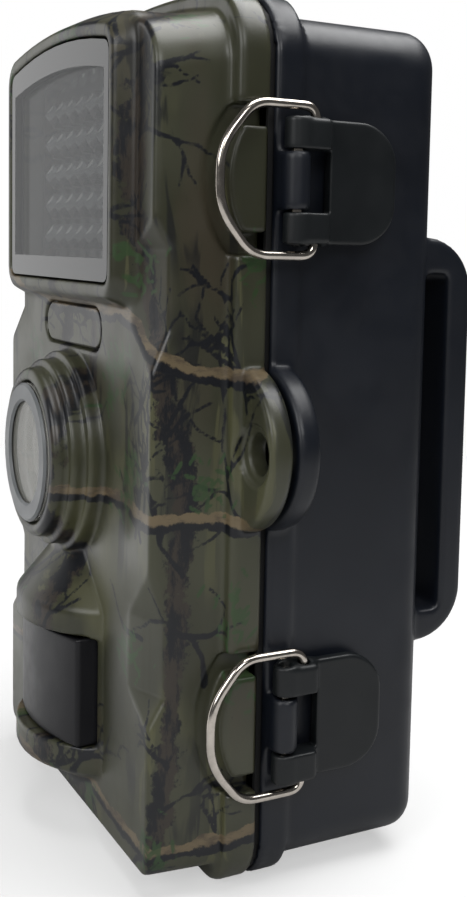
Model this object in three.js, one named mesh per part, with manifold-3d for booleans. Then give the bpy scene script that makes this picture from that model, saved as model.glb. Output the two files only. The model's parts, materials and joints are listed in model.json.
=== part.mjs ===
// Trail camera: a hinged two-part weatherproof case with a camera, an infrared lamp, a motion
// sensor, a display and eight AA cells. Millimetres. +X is the latch side, -Y the front, +Z up.
// Coordinates below are taken from the seam between the two halves, with the base at z = 0.
import * as THREE from "three";
import { mergeVertices } from "three/addons/utils/BufferGeometryUtils.js";
import { ConvexGeometry } from "three/addons/geometries/ConvexGeometry.js";
import Module from "manifold-3d";

const wasm = await Module();
wasm.setup();

// ---------------------------------------------------------------- driving dimensions

const GAP = 0.3; // clearance between pieces that seat on each other
const CURVE_STEPS = 4;

// Case
const FLANGE_WIDTH = 84.4;
const HEIGHT = 145.5; // from the base to the crown of the arched top
const ARCH_RISE = 3.3;
const FLANGE_CORNER = 9;
const SEAM = 0.8; // gap between the two flanges
const FRONT_FLANGE = 5.3;
const REAR_FLANGE = 5.4;
const FRONT_DEPTH = 17.6; // from the seam to the front faces
const REAR_DEPTH = 31.7; // from the seam to the back wall
const WALL = 2.2;
const FRONT_WALL = 2.6;
const FRONT_INSET = 2.6; // front body inside the flange edge, at the flange
const FRONT_DRAFT = 1.3; // further inset of the front body at its front faces
const FRONT_CAVITY_INSET = 8; // front cavity inside the flange edge
const BODY_RISE = 4; // crown of the front body and rear box over their shoulders
const FRONT_FOOT = 4; // underside of the front body above the base
const REAR_INSET = 0.6;
const REAR_FOOT = 3;
const REAR_CORNER = 6;
const REAR_EDGE_ROUND = 4.5;
const NOTCH_DEPTH = 2.7;
const NOTCH_REACH = 9; // how far the side notches run in from the corner
const NOTCHES = [
  [28, 33, 45, 54], // lower notch: start, full depth from, full depth to, end
  [84, 91, 103, 108],
];

// Infrared lamp
const WINDOW_WIDTH = 54.4;
const WINDOW_BOTTOM = 97.5;
const WINDOW_CROWN = 138;
const WINDOW_RISE = 2.5;
const WINDOW_CORNER = 2;
const WINDOW_FACE = 20.8; // distance of the glass face in front of the seam
const WINDOW_THICKNESS = 1.4;
const WINDOW_LEDGE = 2.6;
const BEZEL_BORDER = 2.1;
const BEZEL_FLARE = 1.6;
const LED_ROWS = 5;
const LED_COLUMNS = 8;
const LED_PITCH = 5.7;
const LED_RADIUS = 2.4;
const LED_LENGTH = 3.6;
const LED_BOARD_THICKNESS = 1.2;

// Camera
const LENS_HEIGHT = 67;
const LENS_FACE = 26.3;
const LENS_RING_RADIUS = 12.3;
const LENS_CLEAR_RADIUS = 9;
const LENS_GLASS_THICKNESS = 1.5;
const BARREL_WALL = 2.7;
const COLLAR_STEP = 1.5;
const COLLARS = 2;
const MODULE_RADIUS = 6.5;
const SENSOR_BOARD_SIDE = 18;

// Motion sensor
const PIR_WIDTH = 31;
const PIR_BOTTOM = 18;
const PIR_TOP = 36.8;
const PIR_FACE = 24.7;
const PIR_EDGE_FACE = 20.4;
const PIR_THICKNESS = 1.2;
const HOOD_WIDTH = 35;
const HOOD_FACE = 26.6;
const BROW_BAND = 4.6;
const BROW_APEX = 52.5;
const LIP_BAND = 5;
const LIP_SLOPE = 5;

// Name plate
const PLATE_WIDTH = 30;
const PLATE_HEIGHT = 7;
const PLATE_CENTRE = 89.5;
const PLATE_RECESS = 0.8;

// Padlock lug
const LUG_HEIGHT = 72.5;
const LUG_RADIUS = 13.2;
const LUG_REACH = 10.4;
const LUG_THICKNESS = 3.9;
const LUG_HOLE_RADIUS = 3.25;
const LUG_HOLE_INSET = 6.2;

// Latches
const LATCH_HEIGHTS = { lower: 28.6, upper: 114.1 };
const LEVER_WIDTH = 19.2;
const LEVER_REACH = 21; // free end of the lever behind the seam
const LEVER_THICKNESS = 2;
const LEVER_ROOT_THICKNESS = 4;
const LEVER_CORNER = 6;
const LEVER_SLOT = 9.6;
const LEVER_SLOT_END = 9;
const LEVER_AXIS_BACK = 3.1;
const LEVER_AXIS_OUT = 2.4;
const LATCH_KNUCKLE_RADIUS = 2.1;
const LATCH_PIN_RADIUS = 0.9;
const BAIL_WIRE = 1.5;
const BAIL_AXIS_BACK = 6.3;
const BAIL_STANDOFF = 1.8; // straight runs of the wire beyond the lever's edges
const BAIL_FRONT = 9.8; // foremost point of the wire's centre line in front of the seam
const BAIL_NOSE_HALF = 7.6;
const CATCH_HEIGHT = 16;
const CATCH_FRONT = 7.6;
const CATCH_BACK = 1.3;
const CATCH_BULGE = 2.2;
const CATCH_OUT = 1.25;

// Case hinge
const HINGE_OUT = 3.1;
const HINGE_KNUCKLE_RADIUS = 2.7;
const HINGE_PIN_RADIUS = 1.2;
const HINGE_LENGTH = 26;
const HINGE_HEIGHTS = { lower: 28.6, upper: 114.1 };

// Strap loops
const LOOP_BOTTOM = 36.2;
const LOOP_TOP = 106.2;
const LOOP_BACK = 41.3;
const LOOP_SLOT_DEPTH = 5;
const LOOP_SLOT_BOTTOM = 41.5;
const LOOP_SLOT_TOP = 100.2;
const LOOP_LENGTH = 14;
const LOOP_CORNER = 9;
const LOOP_INSET = 3; // loop's outer face inside the side of the rear box

// Battery bay
const CELL_RADIUS = 7.1;
const CELL_LENGTH = 50.4;
const CELL_NUB_RADIUS = 2.75;
const CELL_NUB_LENGTH = 1.2;
const CELL_PITCH = 15.4;
const CELL_COLUMNS = 4;
const SPRING_LENGTH = 3.8;
const STRIP_THICKNESS = 0.5;
const TRAY_WALL = 1.6;
const TRAY_DIVIDER = 5.6; // wall between the two rows of cells
const TRAY_BOTTOM = 13.5;
const TRAY_FRONT = 9;

// Inside of the front half
const PANEL_FACE = 1.4; // panel face in front of the seam
const PANEL_THICKNESS = 1.6;
const BOARD_FACE = 7.5;
const BOARD_THICKNESS = 1.6;
const BOARD_BOTTOM = 26;
const BOARD_TOP = 131;
const DISPLAY_CENTRE = 104;
const DISPLAY_WIDTH = 50;
const DISPLAY_HEIGHT = 38;
const DISPLAY_THICKNESS = 2.8;
const DISPLAY_BORDER = 3;
const BUTTON_RADIUS = 2.9;
const BUTTON_PROUD = 0.9;
const BUTTON_TRAVEL = 0.5;
const BUTTONS_CENTRE = 66;
const BUTTON_SPACING = 8.5;
const KNOB_TRAVEL = 4;
const CARD = { width: 24, length: 32, thickness: 2.1 };
const CARD_CENTRE = -11;
const USB = { width: 8, height: 4, depth: 9, centre: 14 };
const BAY_BOTTOM = 8;
const BAY_TOP = 25;
const BAY_WIDTH = 56;
const SPEAKER_RADIUS = 9;
const SCREW = { head: 2.3, headHeight: 1.4, shank: 1.2, length: 4.5 };

// Underside
const TRIPOD_BORE = 3.2;
const TRIPOD_INSERT = { radius: 5.2, length: 9 };
const BOSS_RADIUS = 3.2;
const GASKET_INSET = 1.1;
const GASKET_WIDTH = 0.9;
const GASKET_DEPTH = 1.2;
const JACK = { radius: 4.2, bore: 2.9, length: 9.5, centre: 24 };
const PLUG_HEAD = { radius: 5.4, height: 1.4 };
const UNDERSIDE_ROW = 20; // distance of the underside's sockets behind the seam

// ---------------------------------------------------------------- derived places

const halfFlange = FLANGE_WIDTH / 2;
const seam = SEAM / 2;
const frontFlangeY = -seam - FRONT_FLANGE;
const rearFlangeY = seam + REAR_FLANGE;
const frontHalf = halfFlange - FRONT_INSET;
const rearHalf = halfFlange - REAR_INSET;
const rearCrown = HEIGHT - REAR_FOOT;
const cavityHalf = rearHalf - WALL;
const frontCavityHalf = halfFlange - FRONT_CAVITY_INSET;
const frontCavityY = FRONT_WALL - FRONT_DEPTH;
const panelBackY = -PANEL_FACE;
const panelFrontY = panelBackY - PANEL_THICKNESS;
const windowBackY = -WINDOW_FACE + WINDOW_THICKNESS;
const lensGlassFront = 0.8 - LENS_FACE;
const barrelRadius = LENS_RING_RADIUS + BARREL_WALL;
const leverAxisX = halfFlange + LEVER_AXIS_OUT;
const hingeAxisX = -halfFlange - HINGE_OUT;
const lugCentreX = halfFlange + LUG_REACH - LUG_RADIUS;
const lugHoleX = halfFlange + LUG_REACH - LUG_HOLE_INSET;

// ---------------------------------------------------------------- materials

const finish = (color, roughness, metalness = 0) =>
  new THREE.MeshStandardMaterial({ color, roughness, metalness });
const camouflage = finish(0x4a4c38, 0.5);
const blackPlastic = finish(0x1c1f23, 0.45);
const leverPlastic = finish(0x25282b, 0.4);
const steel = finish(0xc9c4bc, 0.25, 1);
const brass = finish(0xb08d4a, 0.35, 1);
const nickel = finish(0xa8a8a4, 0.35, 1);
const darkGlass = finish(0x5e6265, 0.12);
const clearGlass = finish(0x8f8f8c, 0.08);
const rubber = finish(0x17181a, 0.85);
const circuitBoard = finish(0x1d4a31, 0.55);
const filterPlastic = finish(0x2a2a30, 0.35);
const cellJacket = finish(0x2f3236, 0.35, 0.4);
const whitePlastic = finish(0xb9bcbd, 0.5);

// ---------------------------------------------------------------- solid helpers

function solid(geometry) {
  const bare = new THREE.BufferGeometry();
  bare.setAttribute("position", geometry.getAttribute("position"));
  if (geometry.index) bare.setIndex(geometry.index);
  const merged = mergeVertices(bare, 1e-4);
  return new wasm.Manifold(
    new wasm.Mesh({
      numProp: 3,
      vertProperties: merged.getAttribute("position").array,
      triVerts: new Uint32Array(merged.index.array),
    }),
  );
}

function geometryOf(body) {
  const mesh = body.getMesh();
  const geometry = new THREE.BufferGeometry();
  geometry.setAttribute("position", new THREE.BufferAttribute(mesh.vertProperties, 3));
  geometry.setIndex(new THREE.BufferAttribute(mesh.triVerts, 1));
  geometry.computeVertexNormals();
  return geometry;
}

const joined = (...bodies) => bodies.reduce((sum, body) => sum.add(body));
const cut = (body, ...tools) => tools.reduce((rest, tool) => rest.subtract(tool), body);

function box(x0, x1, y0, y1, z0, z1) {
  const geometry = new THREE.BoxGeometry(x1 - x0, y1 - y0, z1 - z0);
  geometry.translate((x0 + x1) / 2, (y0 + y1) / 2, (z0 + z1) / 2);
  return solid(geometry);
}

// A shape drawn in x and z, extruded from y0 back to y1.
function slab(shape, y0, y1, curveSegments = CURVE_STEPS) {
  const geometry = new THREE.ExtrudeGeometry(shape, {
    depth: y1 - y0,
    bevelEnabled: false,
    curveSegments,
  });
  geometry.rotateX(Math.PI / 2);
  geometry.translate(0, y1, 0);
  return solid(geometry);
}

// A shape drawn in x and y, extruded from z0 up to z1.
function column(shape, z0, z1, curveSegments = CURVE_STEPS) {
  const geometry = new THREE.ExtrudeGeometry(shape, {
    depth: z1 - z0,
    bevelEnabled: false,
    curveSegments,
  });
  geometry.translate(0, 0, z0);
  return solid(geometry);
}

// A shape drawn in y and z, extruded from x0 out to x1.
function plank(shape, x0, x1, curveSegments = CURVE_STEPS) {
  const geometry = new THREE.ExtrudeGeometry(shape, {
    depth: x1 - x0,
    bevelEnabled: false,
    curveSegments,
  });
  const turn = new THREE.Matrix4().makeBasis(
    new THREE.Vector3(0, 1, 0),
    new THREE.Vector3(0, 0, 1),
    new THREE.Vector3(1, 0, 0),
  );
  geometry.applyMatrix4(turn);
  geometry.translate(x0, 0, 0);
  return solid(geometry);
}

// A solid through outlines of equal point count, drawn in x and z, from the front to the back.
function loft(sections) {
  const rings = sections.map(({ shape }) => openPoints(shape));
  const count = rings[0].length;
  const positions = rings.flatMap((ring, k) => ring.flatMap((p) => [p.x, sections[k].y, p.y]));
  const index = [];
  for (let k = 0; k + 1 < rings.length; k++) {
    for (let i = 0; i < count; i++) {
      const a = k * count + i;
      const b = k * count + ((i + 1) % count);
      index.push(a, b + count, b, a, a + count, b + count);
    }
  }
  const lastRing = (rings.length - 1) * count;
  for (const [a, b, c] of THREE.ShapeUtils.triangulateShape(rings[0], [])) index.push(a, b, c);
  for (const [a, b, c] of THREE.ShapeUtils.triangulateShape(rings.at(-1), []))
    index.push(lastRing + a, lastRing + c, lastRing + b);
  const geometry = new THREE.BufferGeometry();
  geometry.setAttribute("position", new THREE.Float32BufferAttribute(positions, 3));
  geometry.setIndex(index);
  return solid(geometry);
}

function openPoints(shape) {
  const all = shape.getPoints(CURVE_STEPS);
  return all.filter((p, i) => p.distanceTo(all[(i + 1) % all.length]) > 1e-6);
}

// A profile of [radius, height] pairs turned about Z at (x, y).
function turned(profile, x, y, steps = 14) {
  const geometry = new THREE.LatheGeometry(points(profile), steps);
  geometry.rotateX(Math.PI / 2);
  geometry.translate(x, y, 0);
  return solid(geometry);
}

// A profile of [radius, y] pairs turned about an axis along Y at (x, z).
function turnedFacing(profile, x, z, steps = 20) {
  const geometry = new THREE.LatheGeometry(points(profile), steps);
  geometry.translate(x, 0, z);
  return solid(geometry);
}

const points = (profile) => profile.map(([a, b]) => new THREE.Vector2(a, b));
const disc = (radius, from, to) => [[0, from], [radius, from], [radius, to], [0, to]];
const post = (radius, z0, z1, x, y, steps) => turned(disc(radius, z0, z1), x, y, steps);
const stud = (radius, y0, y1, x, z, steps) => turnedFacing(disc(radius, y0, y1), x, z, steps);

function hull(corners) {
  return solid(new ConvexGeometry(corners.map(([x, y, z]) => new THREE.Vector3(x, y, z))));
}

// ---------------------------------------------------------------- outlines

// A box outline with an arched top, in x and z.
function archShape(half, bottom, crown, rise, topRadius, bottomRadius) {
  const radius = (half * half + rise * rise) / (2 * rise);
  const centre = crown - radius;
  const joinX = half - topRadius;
  const joinZ = centre + Math.sqrt(radius * radius - joinX * joinX);
  const shoulder = crown - rise;
  const turn = Math.asin(joinX / radius);
  const shape = new THREE.Shape();
  shape.moveTo(-half + bottomRadius, bottom);
  shape.lineTo(half - bottomRadius, bottom);
  shape.quadraticCurveTo(half, bottom, half, bottom + bottomRadius);
  shape.lineTo(half, shoulder - topRadius);
  shape.quadraticCurveTo(half, shoulder, joinX, joinZ);
  shape.absarc(0, centre, radius, Math.PI / 2 - turn, Math.PI / 2 + turn, false);
  shape.quadraticCurveTo(-half, shoulder, -half, shoulder - topRadius);
  shape.lineTo(-half, bottom + bottomRadius);
  shape.quadraticCurveTo(-half, bottom, -half + bottomRadius, bottom);
  return shape;
}

// The case outline, drawn in by an inset and raised at the bottom.
function caseShape(inset, foot, top, rise, corner) {
  return archShape(halfFlange - inset, foot, top, rise, corner, corner);
}

const windowShape = (inset) =>
  archShape(
    WINDOW_WIDTH / 2 - inset,
    WINDOW_BOTTOM + inset,
    WINDOW_CROWN - inset,
    WINDOW_RISE,
    WINDOW_CORNER,
    WINDOW_CORNER,
  );

// A straight-backed outline in x and y whose front bulges forward in an arc.
function bowShape(half, backY, edgeY, faceY) {
  const bulge = edgeY - faceY;
  const radius = (half * half + bulge * bulge) / (2 * bulge);
  const turn = Math.asin(half / radius);
  const shape = new THREE.Shape();
  shape.moveTo(half, backY);
  shape.lineTo(-half, backY);
  shape.lineTo(-half, edgeY);
  shape.absarc(0, faceY + radius, radius, 1.5 * Math.PI - turn, 1.5 * Math.PI + turn, false);
  shape.lineTo(half, backY);
  return shape;
}

function roundedRect(u0, u1, v0, v1, radius) {
  const shape = new THREE.Shape();
  shape.moveTo(u0 + radius, v0);
  shape.lineTo(u1 - radius, v0);
  shape.absarc(u1 - radius, v0 + radius, radius, -Math.PI / 2, 0, false);
  shape.lineTo(u1, v1 - radius);
  shape.absarc(u1 - radius, v1 - radius, radius, 0, Math.PI / 2, false);
  shape.lineTo(u0 + radius, v1);
  shape.absarc(u0 + radius, v1 - radius, radius, Math.PI / 2, Math.PI, false);
  shape.lineTo(u0, v0 + radius);
  shape.absarc(u0 + radius, v0 + radius, radius, Math.PI, 1.5 * Math.PI, false);
  return shape;
}

// ---------------------------------------------------------------- front cover

function frontBody() {
  const step = (y, inset, drop) => ({
    y,
    shape: caseShape(inset, FRONT_FOOT, HEIGHT - FRONT_INSET - drop, BODY_RISE, FLANGE_CORNER - 2),
  });
  const frontInset = FRONT_INSET + FRONT_DRAFT;
  return loft([
    step(-FRONT_DEPTH, frontInset + 0.8, 3),
    step(-FRONT_DEPTH + 0.8, frontInset, 2),
    step(frontFlangeY, FRONT_INSET, 0),
    step(frontFlangeY + 1, FRONT_INSET, 0),
  ]);
}

function flangePlate(y0, y1) {
  return slab(caseShape(0, 0, HEIGHT, ARCH_RISE, FLANGE_CORNER), y0, y1);
}

// A wedge that takes the corner off the side of the front body between two heights.
function sideNotch([start, from, to, end], side) {
  const corner = frontHalf - FRONT_DRAFT;
  const outer = side * (corner + 2);
  const inner = side * (corner - NOTCH_REACH);
  const face = -FRONT_DEPTH - 1;
  const floor = NOTCH_DEPTH * (1 + 2 / NOTCH_REACH) - FRONT_DEPTH;
  return hull([
    [outer, face, start],
    [outer, face, end],
    [inner, face, (start + end) / 2],
    [outer, floor, from],
    [outer, floor, to],
    [outer, -FRONT_DEPTH, start],
    [outer, -FRONT_DEPTH, end],
    [inner, -FRONT_DEPTH, (start + end) / 2],
  ]);
}

function windowBezel() {
  const half = WINDOW_WIDTH / 2;
  const ring = (y, border) => ({
    y,
    shape: archShape(
      half + border,
      WINDOW_BOTTOM - border,
      WINDOW_CROWN + Math.min(border, HEIGHT - FRONT_INSET - 1 - WINDOW_CROWN),
      WINDOW_RISE,
      WINDOW_CORNER + border,
      WINDOW_CORNER + border,
    ),
  });
  return loft([
    ring(-WINDOW_FACE - 0.2, BEZEL_BORDER - 0.6),
    ring(-WINDOW_FACE + 0.5, BEZEL_BORDER),
    ring(-FRONT_DEPTH + 2, BEZEL_BORDER + BEZEL_FLARE),
  ]);
}

function lensBarrel() {
  const back = -FRONT_DEPTH + 1;
  const front = -LENS_FACE + 1;
  const profile = [
    [0, front],
    [barrelRadius - 1, front],
    [barrelRadius, front + 1],
  ];
  const depth = (back - front - 3) / COLLARS;
  for (let k = 0; k < COLLARS; k++) {
    const y = front + 2.6 + k * depth;
    profile.push([barrelRadius + k * COLLAR_STEP, y]);
    profile.push([barrelRadius + (k + 1) * COLLAR_STEP, y + 0.5]);
  }
  profile.push([barrelRadius + COLLARS * COLLAR_STEP, back], [0, back]);
  return turnedFacing(profile, 0, LENS_HEIGHT, 32);
}

// Corner points of the hood's curved front edge at one height.
function hoodEdge(z, face = HOOD_FACE) {
  const half = HOOD_WIDTH / 2;
  const back = -FRONT_DEPTH + 1;
  return openPoints(bowShape(half, back, -FRONT_DEPTH, -face)).map((p) => [p.x, p.y, z]);
}

function sensorHood() {
  const apexHalf = HOOD_WIDTH / 8;
  const apex = [-apexHalf, apexHalf].map((x) => [x, -FRONT_DEPTH + 1, BROW_APEX]);
  const browTop = PIR_TOP + BROW_BAND;
  const lipTop = PIR_BOTTOM;
  const brow = hull([...hoodEdge(PIR_TOP), ...hoodEdge(browTop), ...apex]);
  const lip = hull([
    ...hoodEdge(lipTop),
    ...hoodEdge(lipTop - LIP_BAND),
    ...hoodEdge(lipTop - LIP_BAND - LIP_SLOPE, FRONT_DEPTH + 2),
  ]);
  const frame = column(
    bowShape(HOOD_WIDTH / 2, -FRONT_DEPTH + 1, -FRONT_DEPTH, -PIR_EDGE_FACE),
    lipTop - 1,
    PIR_TOP + 1,
  );
  return joined(brow, lip, frame);
}

function sensorPocket() {
  const half = PIR_WIDTH / 2 + GAP;
  const back = frontCavityY + 0.1;
  const bow = bowShape(half, back, -PIR_EDGE_FACE - 3, -HOOD_FACE - 3);
  return column(bow, PIR_BOTTOM - GAP, PIR_TOP + GAP);
}

function catchBoss(z) {
  const half = CATCH_HEIGHT / 2;
  const nose = CATCH_FRONT - CATCH_BULGE;
  const shape = new THREE.Shape();
  shape.moveTo(-CATCH_BACK, z - half);
  shape.lineTo(-CATCH_BACK, z + half);
  shape.lineTo(-nose, z + half);
  shape.quadraticCurveTo(-CATCH_FRONT - CATCH_BULGE, z, -nose, z - half);
  return plank(shape, frontHalf - 1.5, halfFlange + CATCH_OUT);
}

function lugDisc(y0, y1) {
  return stud(LUG_RADIUS, y0, y1, lugCentreX, LUG_HEIGHT, 40);
}

function lugBore(y0, y1) {
  return stud(LUG_HOLE_RADIUS, y0, y1, lugHoleX, LUG_HEIGHT);
}

// Hinge knuckles on the side opposite the latches, each a barrel with a web to its flange.
function hingeKnuckle(z0, z1, y0, y1) {
  const barrel = post(HINGE_KNUCKLE_RADIUS, z0, z1, hingeAxisX, 0, 20);
  return joined(barrel, box(hingeAxisX, 1 - halfFlange, y0, y1, z0, z1));
}

function hingeBore(z) {
  const half = HINGE_LENGTH / 2 + 1;
  return post(HINGE_PIN_RADIUS + GAP, z - half, z + half, hingeAxisX, 0, 20);
}

function frontKnuckles(z) {
  const half = HINGE_LENGTH / 2;
  const inner = HINGE_LENGTH / 6 + GAP;
  const low = hingeKnuckle(z - half, z - inner, -HINGE_KNUCKLE_RADIUS, -seam);
  const high = hingeKnuckle(z + inner, z + half, -HINGE_KNUCKLE_RADIUS, -seam);
  return cut(joined(low, high), hingeBore(z));
}

function frontCover() {
  const back = -seam;
  let cover = joined(flangePlate(frontFlangeY, back), frontBody(), windowBezel());
  for (const notch of NOTCHES) cover = cut(cover, sideNotch(notch, 1), sideNotch(notch, -1));
  cover = joined(cover, lensBarrel(), sensorHood());
  const lugFront = -LUG_THICKNESS - seam;
  const lug = cut(lugDisc(lugFront, back), box(-halfFlange, frontHalf - 1, lugFront - 1, 0, 0, HEIGHT));
  cover = joined(cover, lug);
  for (const z of Object.values(LATCH_HEIGHTS)) cover = cover.add(catchBoss(z));
  const cavity = caseShape(
    FRONT_CAVITY_INSET,
    FRONT_FOOT + WALL,
    HEIGHT - FRONT_INSET - FRONT_WALL - 1,
    BODY_RISE,
    3,
  );
  cover = cut(
    cover,
    slab(cavity, frontCavityY, 1),
    slab(windowShape(0), -WINDOW_FACE - 1, windowBackY + GAP),
    slab(windowShape(WINDOW_LEDGE), -WINDOW_FACE, frontCavityY + 0.1),
    stud(LENS_RING_RADIUS + GAP, -LENS_FACE - 1, lensGlassFront + LENS_GLASS_THICKNESS + GAP, 0, LENS_HEIGHT),
    stud(MODULE_RADIUS + 1.2, -LENS_FACE, frontCavityY + 0.1, 0, LENS_HEIGHT),
    sensorPocket(),
    slab(plateShape(GAP), -FRONT_DEPTH - 1, -FRONT_DEPTH + PLATE_RECESS + GAP),
    lugBore(-LUG_THICKNESS - 1, 0),
  );
  for (const z of Object.values(HINGE_HEIGHTS)) cover = cover.add(frontKnuckles(z));
  for (const [x, z] of panelScrewPlaces()) cover = joined(cover, panelBoss(x, z));
  return cover;
}

// ---------------------------------------------------------------- pieces of the front

function plateShape(margin) {
  const half = PLATE_WIDTH / 2 + margin;
  const high = PLATE_HEIGHT / 2 + margin;
  return roundedRect(-half, half, PLATE_CENTRE - high, PLATE_CENTRE + high, high - 0.1);
}

function lensRing() {
  const face = -LENS_FACE;
  const inner = lensGlassFront - GAP;
  return turnedFacing(
    [
      [LENS_CLEAR_RADIUS, inner],
      [LENS_CLEAR_RADIUS, face + 0.4],
      [LENS_CLEAR_RADIUS + 0.4, face],
      [LENS_RING_RADIUS - 0.4, face],
      [LENS_RING_RADIUS, face + 0.4],
      [LENS_RING_RADIUS, inner],
      [LENS_CLEAR_RADIUS, inner],
    ],
    0,
    LENS_HEIGHT,
    32,
  );
}

function cameraModule() {
  const front = lensGlassFront + LENS_GLASS_THICKNESS + 1;
  const back = -BOARD_FACE - BOARD_THICKNESS - GAP;
  const half = SENSOR_BOARD_SIDE / 2;
  const barrel = turnedFacing(
    [
      [0, front + 1.2],
      [3, front + 1.2],
      [3.6, front],
      [MODULE_RADIUS - 0.6, front],
      [MODULE_RADIUS, front + 0.6],
      [MODULE_RADIUS, back - 1],
      [0, back - 1],
    ],
    0,
    LENS_HEIGHT,
  );
  const holder = box(-half, half, frontCavityY + GAP, back, LENS_HEIGHT - half, LENS_HEIGHT + half);
  return joined(barrel, holder);
}

function pirWindow() {
  const half = PIR_WIDTH / 2;
  const back = -FRONT_DEPTH + 1;
  const outer = column(bowShape(half, back, -PIR_EDGE_FACE, -PIR_FACE), PIR_BOTTOM, PIR_TOP);
  const innerHalf = half - PIR_THICKNESS;
  const hollow = bowShape(innerHalf, back + 1, PIR_THICKNESS - PIR_EDGE_FACE, PIR_THICKNESS - PIR_FACE);
  return cut(outer, column(hollow, PIR_BOTTOM - 1, PIR_TOP + 1));
}

function pirSensor() {
  const z = (PIR_BOTTOM + PIR_TOP) / 2;
  const front = -FRONT_DEPTH - 0.5;
  const can = turnedFacing(
    [
      [0, front],
      [4, front],
      [4.2, front + 0.3],
      [4.2, front + 3.8],
      [4.8, front + 3.8],
      [4.8, front + 4.6],
      [0, front + 4.6],
    ],
    0,
    z,
  );
  const half = 8;
  const boardFront = front + 4.4;
  return joined(can, box(-half, half, boardFront, boardFront + BOARD_THICKNESS, z - half, z + half));
}

function ledBoard() {
  const back = frontCavityY + 3.4;
  const front = back - LED_BOARD_THICKNESS;
  let board = slab(windowShape(WINDOW_LEDGE + GAP), front, back);
  const centre = (WINDOW_BOTTOM + WINDOW_CROWN - WINDOW_RISE) / 2;
  const tip = front - LED_LENGTH;
  const profile = [
    [0, tip],
    [LED_RADIUS, tip + 1.6],
    [LED_RADIUS, front + 0.2],
    [0, front + 0.2],
  ];
  for (let row = 0; row < LED_ROWS; row++) {
    for (let column = 0; column < LED_COLUMNS; column++) {
      const x = (column - (LED_COLUMNS - 1) / 2) * LED_PITCH;
      const z = centre + (row - (LED_ROWS - 1) / 2) * LED_PITCH;
      board = board.add(turnedFacing(profile, x, z, 6));
    }
  }
  return board;
}

function mainBoard() {
  const y = -BOARD_FACE - BOARD_THICKNESS;
  const half = frontCavityHalf - 3;
  let board = box(-half, half, y, -BOARD_FACE, BOARD_BOTTOM, BOARD_TOP);
  const chips = [
    [-18, 114, 7],
    [18, 86, 7],
    [-22, 76, 6],
  ];
  for (const [x, z, side] of chips)
    board = board.add(box(x - side, x + side, y - 1.4, y + 0.1, z - side, z + side));
  for (const [, x, z] of buttonPlaces()) {
    board = board.add(box(x - 2.5, x + 2.5, -BOARD_FACE - 0.1, switchTop(), z - 2.5, z + 2.5));
  }
  for (const [x, z] of panelScrewPlaces())
    board = board.subtract(stud(BOSS_RADIUS + GAP, y - 1, 1 - BOARD_FACE, x, z));
  return board;
}

const switchTop = () => -BOARD_FACE + 2.2;

// ---------------------------------------------------------------- inner panel and controls


function panelScrewPlaces() {
  const x = frontCavityHalf - BOSS_RADIUS - 1.5;
  return [
    [-x, BAY_TOP + 6],
    [x, BAY_TOP + 6],
    [-x, BOARD_TOP - 4],
    [x, BOARD_TOP - 4],
  ];
}

function panelBoss(x, z) {
  const back = panelFrontY - GAP;
  const boss = stud(BOSS_RADIUS, frontCavityY - 0.4, back, x, z, 12);
  const foot = stud(SCREW.shank + GAP, back - SCREW.length, back + 1, x, z, 8);
  return cut(boss, foot);
}

function buttonPlaces() {
  const s = BUTTON_SPACING;
  const z = BUTTONS_CENTRE;
  return [
    ["button_ok", 8, z],
    ["button_up", 8, z + s],
    ["button_down", 8, z - s],
    ["button_left", 8 - s, z],
    ["button_right", 8 + s, z],
    ["button_menu", -16, z + s / 2],
    ["button_shot", -16, z - s / 2],
  ];
}

function innerPanel() {
  const half = frontCavityHalf - GAP;
  const top = HEIGHT - FRONT_INSET - FRONT_WALL - 1 - GAP;
  const shape = archShape(half, FRONT_FOOT + WALL + GAP, top, BODY_RISE, 3, 3);
  const y0 = panelFrontY - 1;
  let panel = slab(shape, panelFrontY, panelBackY);
  const view = displayView(GAP);
  const step = displayView(GAP + 1.5);
  panel = cut(
    panel,
    slab(view, y0, 0),
    slab(step, panelBackY - 0.8 - GAP, 0),
    slab(roundedRect(-BAY_WIDTH / 2, BAY_WIDTH / 2, BAY_BOTTOM, BAY_TOP, 3), y0, 0),
  );
  for (const [, x, z] of buttonPlaces()) panel = cut(panel, stud(BUTTON_RADIUS + GAP, y0, 0, x, z, 14));
  for (const [x, z] of panelScrewPlaces()) {
    panel = cut(panel, stud(SCREW.shank + GAP, y0, 0, x, z, 8));
  }
  const speakerZ = BUTTONS_CENTRE - 16;
  for (let k = -2; k <= 2; k++) {
    const x = k * 3.2 - 16;
    panel = cut(panel, box(x - 0.6, x + 0.6, y0, 0, speakerZ - 4, speakerZ + 4));
  }
  const knob = knobPlace();
  return cut(
    panel,
    box(knob.x - 2 - GAP, knob.x + KNOB_TRAVEL + 2 + GAP, y0, 0, knob.z - 1.6, knob.z + 1.6),
  );
}

function displayView(margin) {
  const half = DISPLAY_WIDTH / 2 - DISPLAY_BORDER + margin;
  const high = DISPLAY_HEIGHT / 2 - DISPLAY_BORDER + margin;
  return roundedRect(-half, half, DISPLAY_CENTRE - high, DISPLAY_CENTRE + high, 1);
}

function displayModule() {
  const half = DISPLAY_WIDTH / 2;
  const high = DISPLAY_HEIGHT / 2;
  const front = -BOARD_FACE + GAP;
  return slab(
    roundedRect(-half, half, DISPLAY_CENTRE - high, DISPLAY_CENTRE + high, 1),
    front,
    front + DISPLAY_THICKNESS,
  );
}

function buttonCap(x, z) {
  const face = panelBackY + BUTTON_PROUD;
  const foot = switchTop() + BUTTON_TRAVEL + GAP;
  const brim = BUTTON_RADIUS + 0.9;
  return turnedFacing(
    [
      [0, foot],
      [brim, foot],
      [brim, foot + 0.6],
      [BUTTON_RADIUS, foot + 0.6],
      [BUTTON_RADIUS, face - 0.3],
      [BUTTON_RADIUS - 0.4, face],
      [0, face],
    ],
    x,
    z,
    14,
  );
}

const knobPlace = () => ({ x: 8, z: BUTTONS_CENTRE - 22 });

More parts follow.
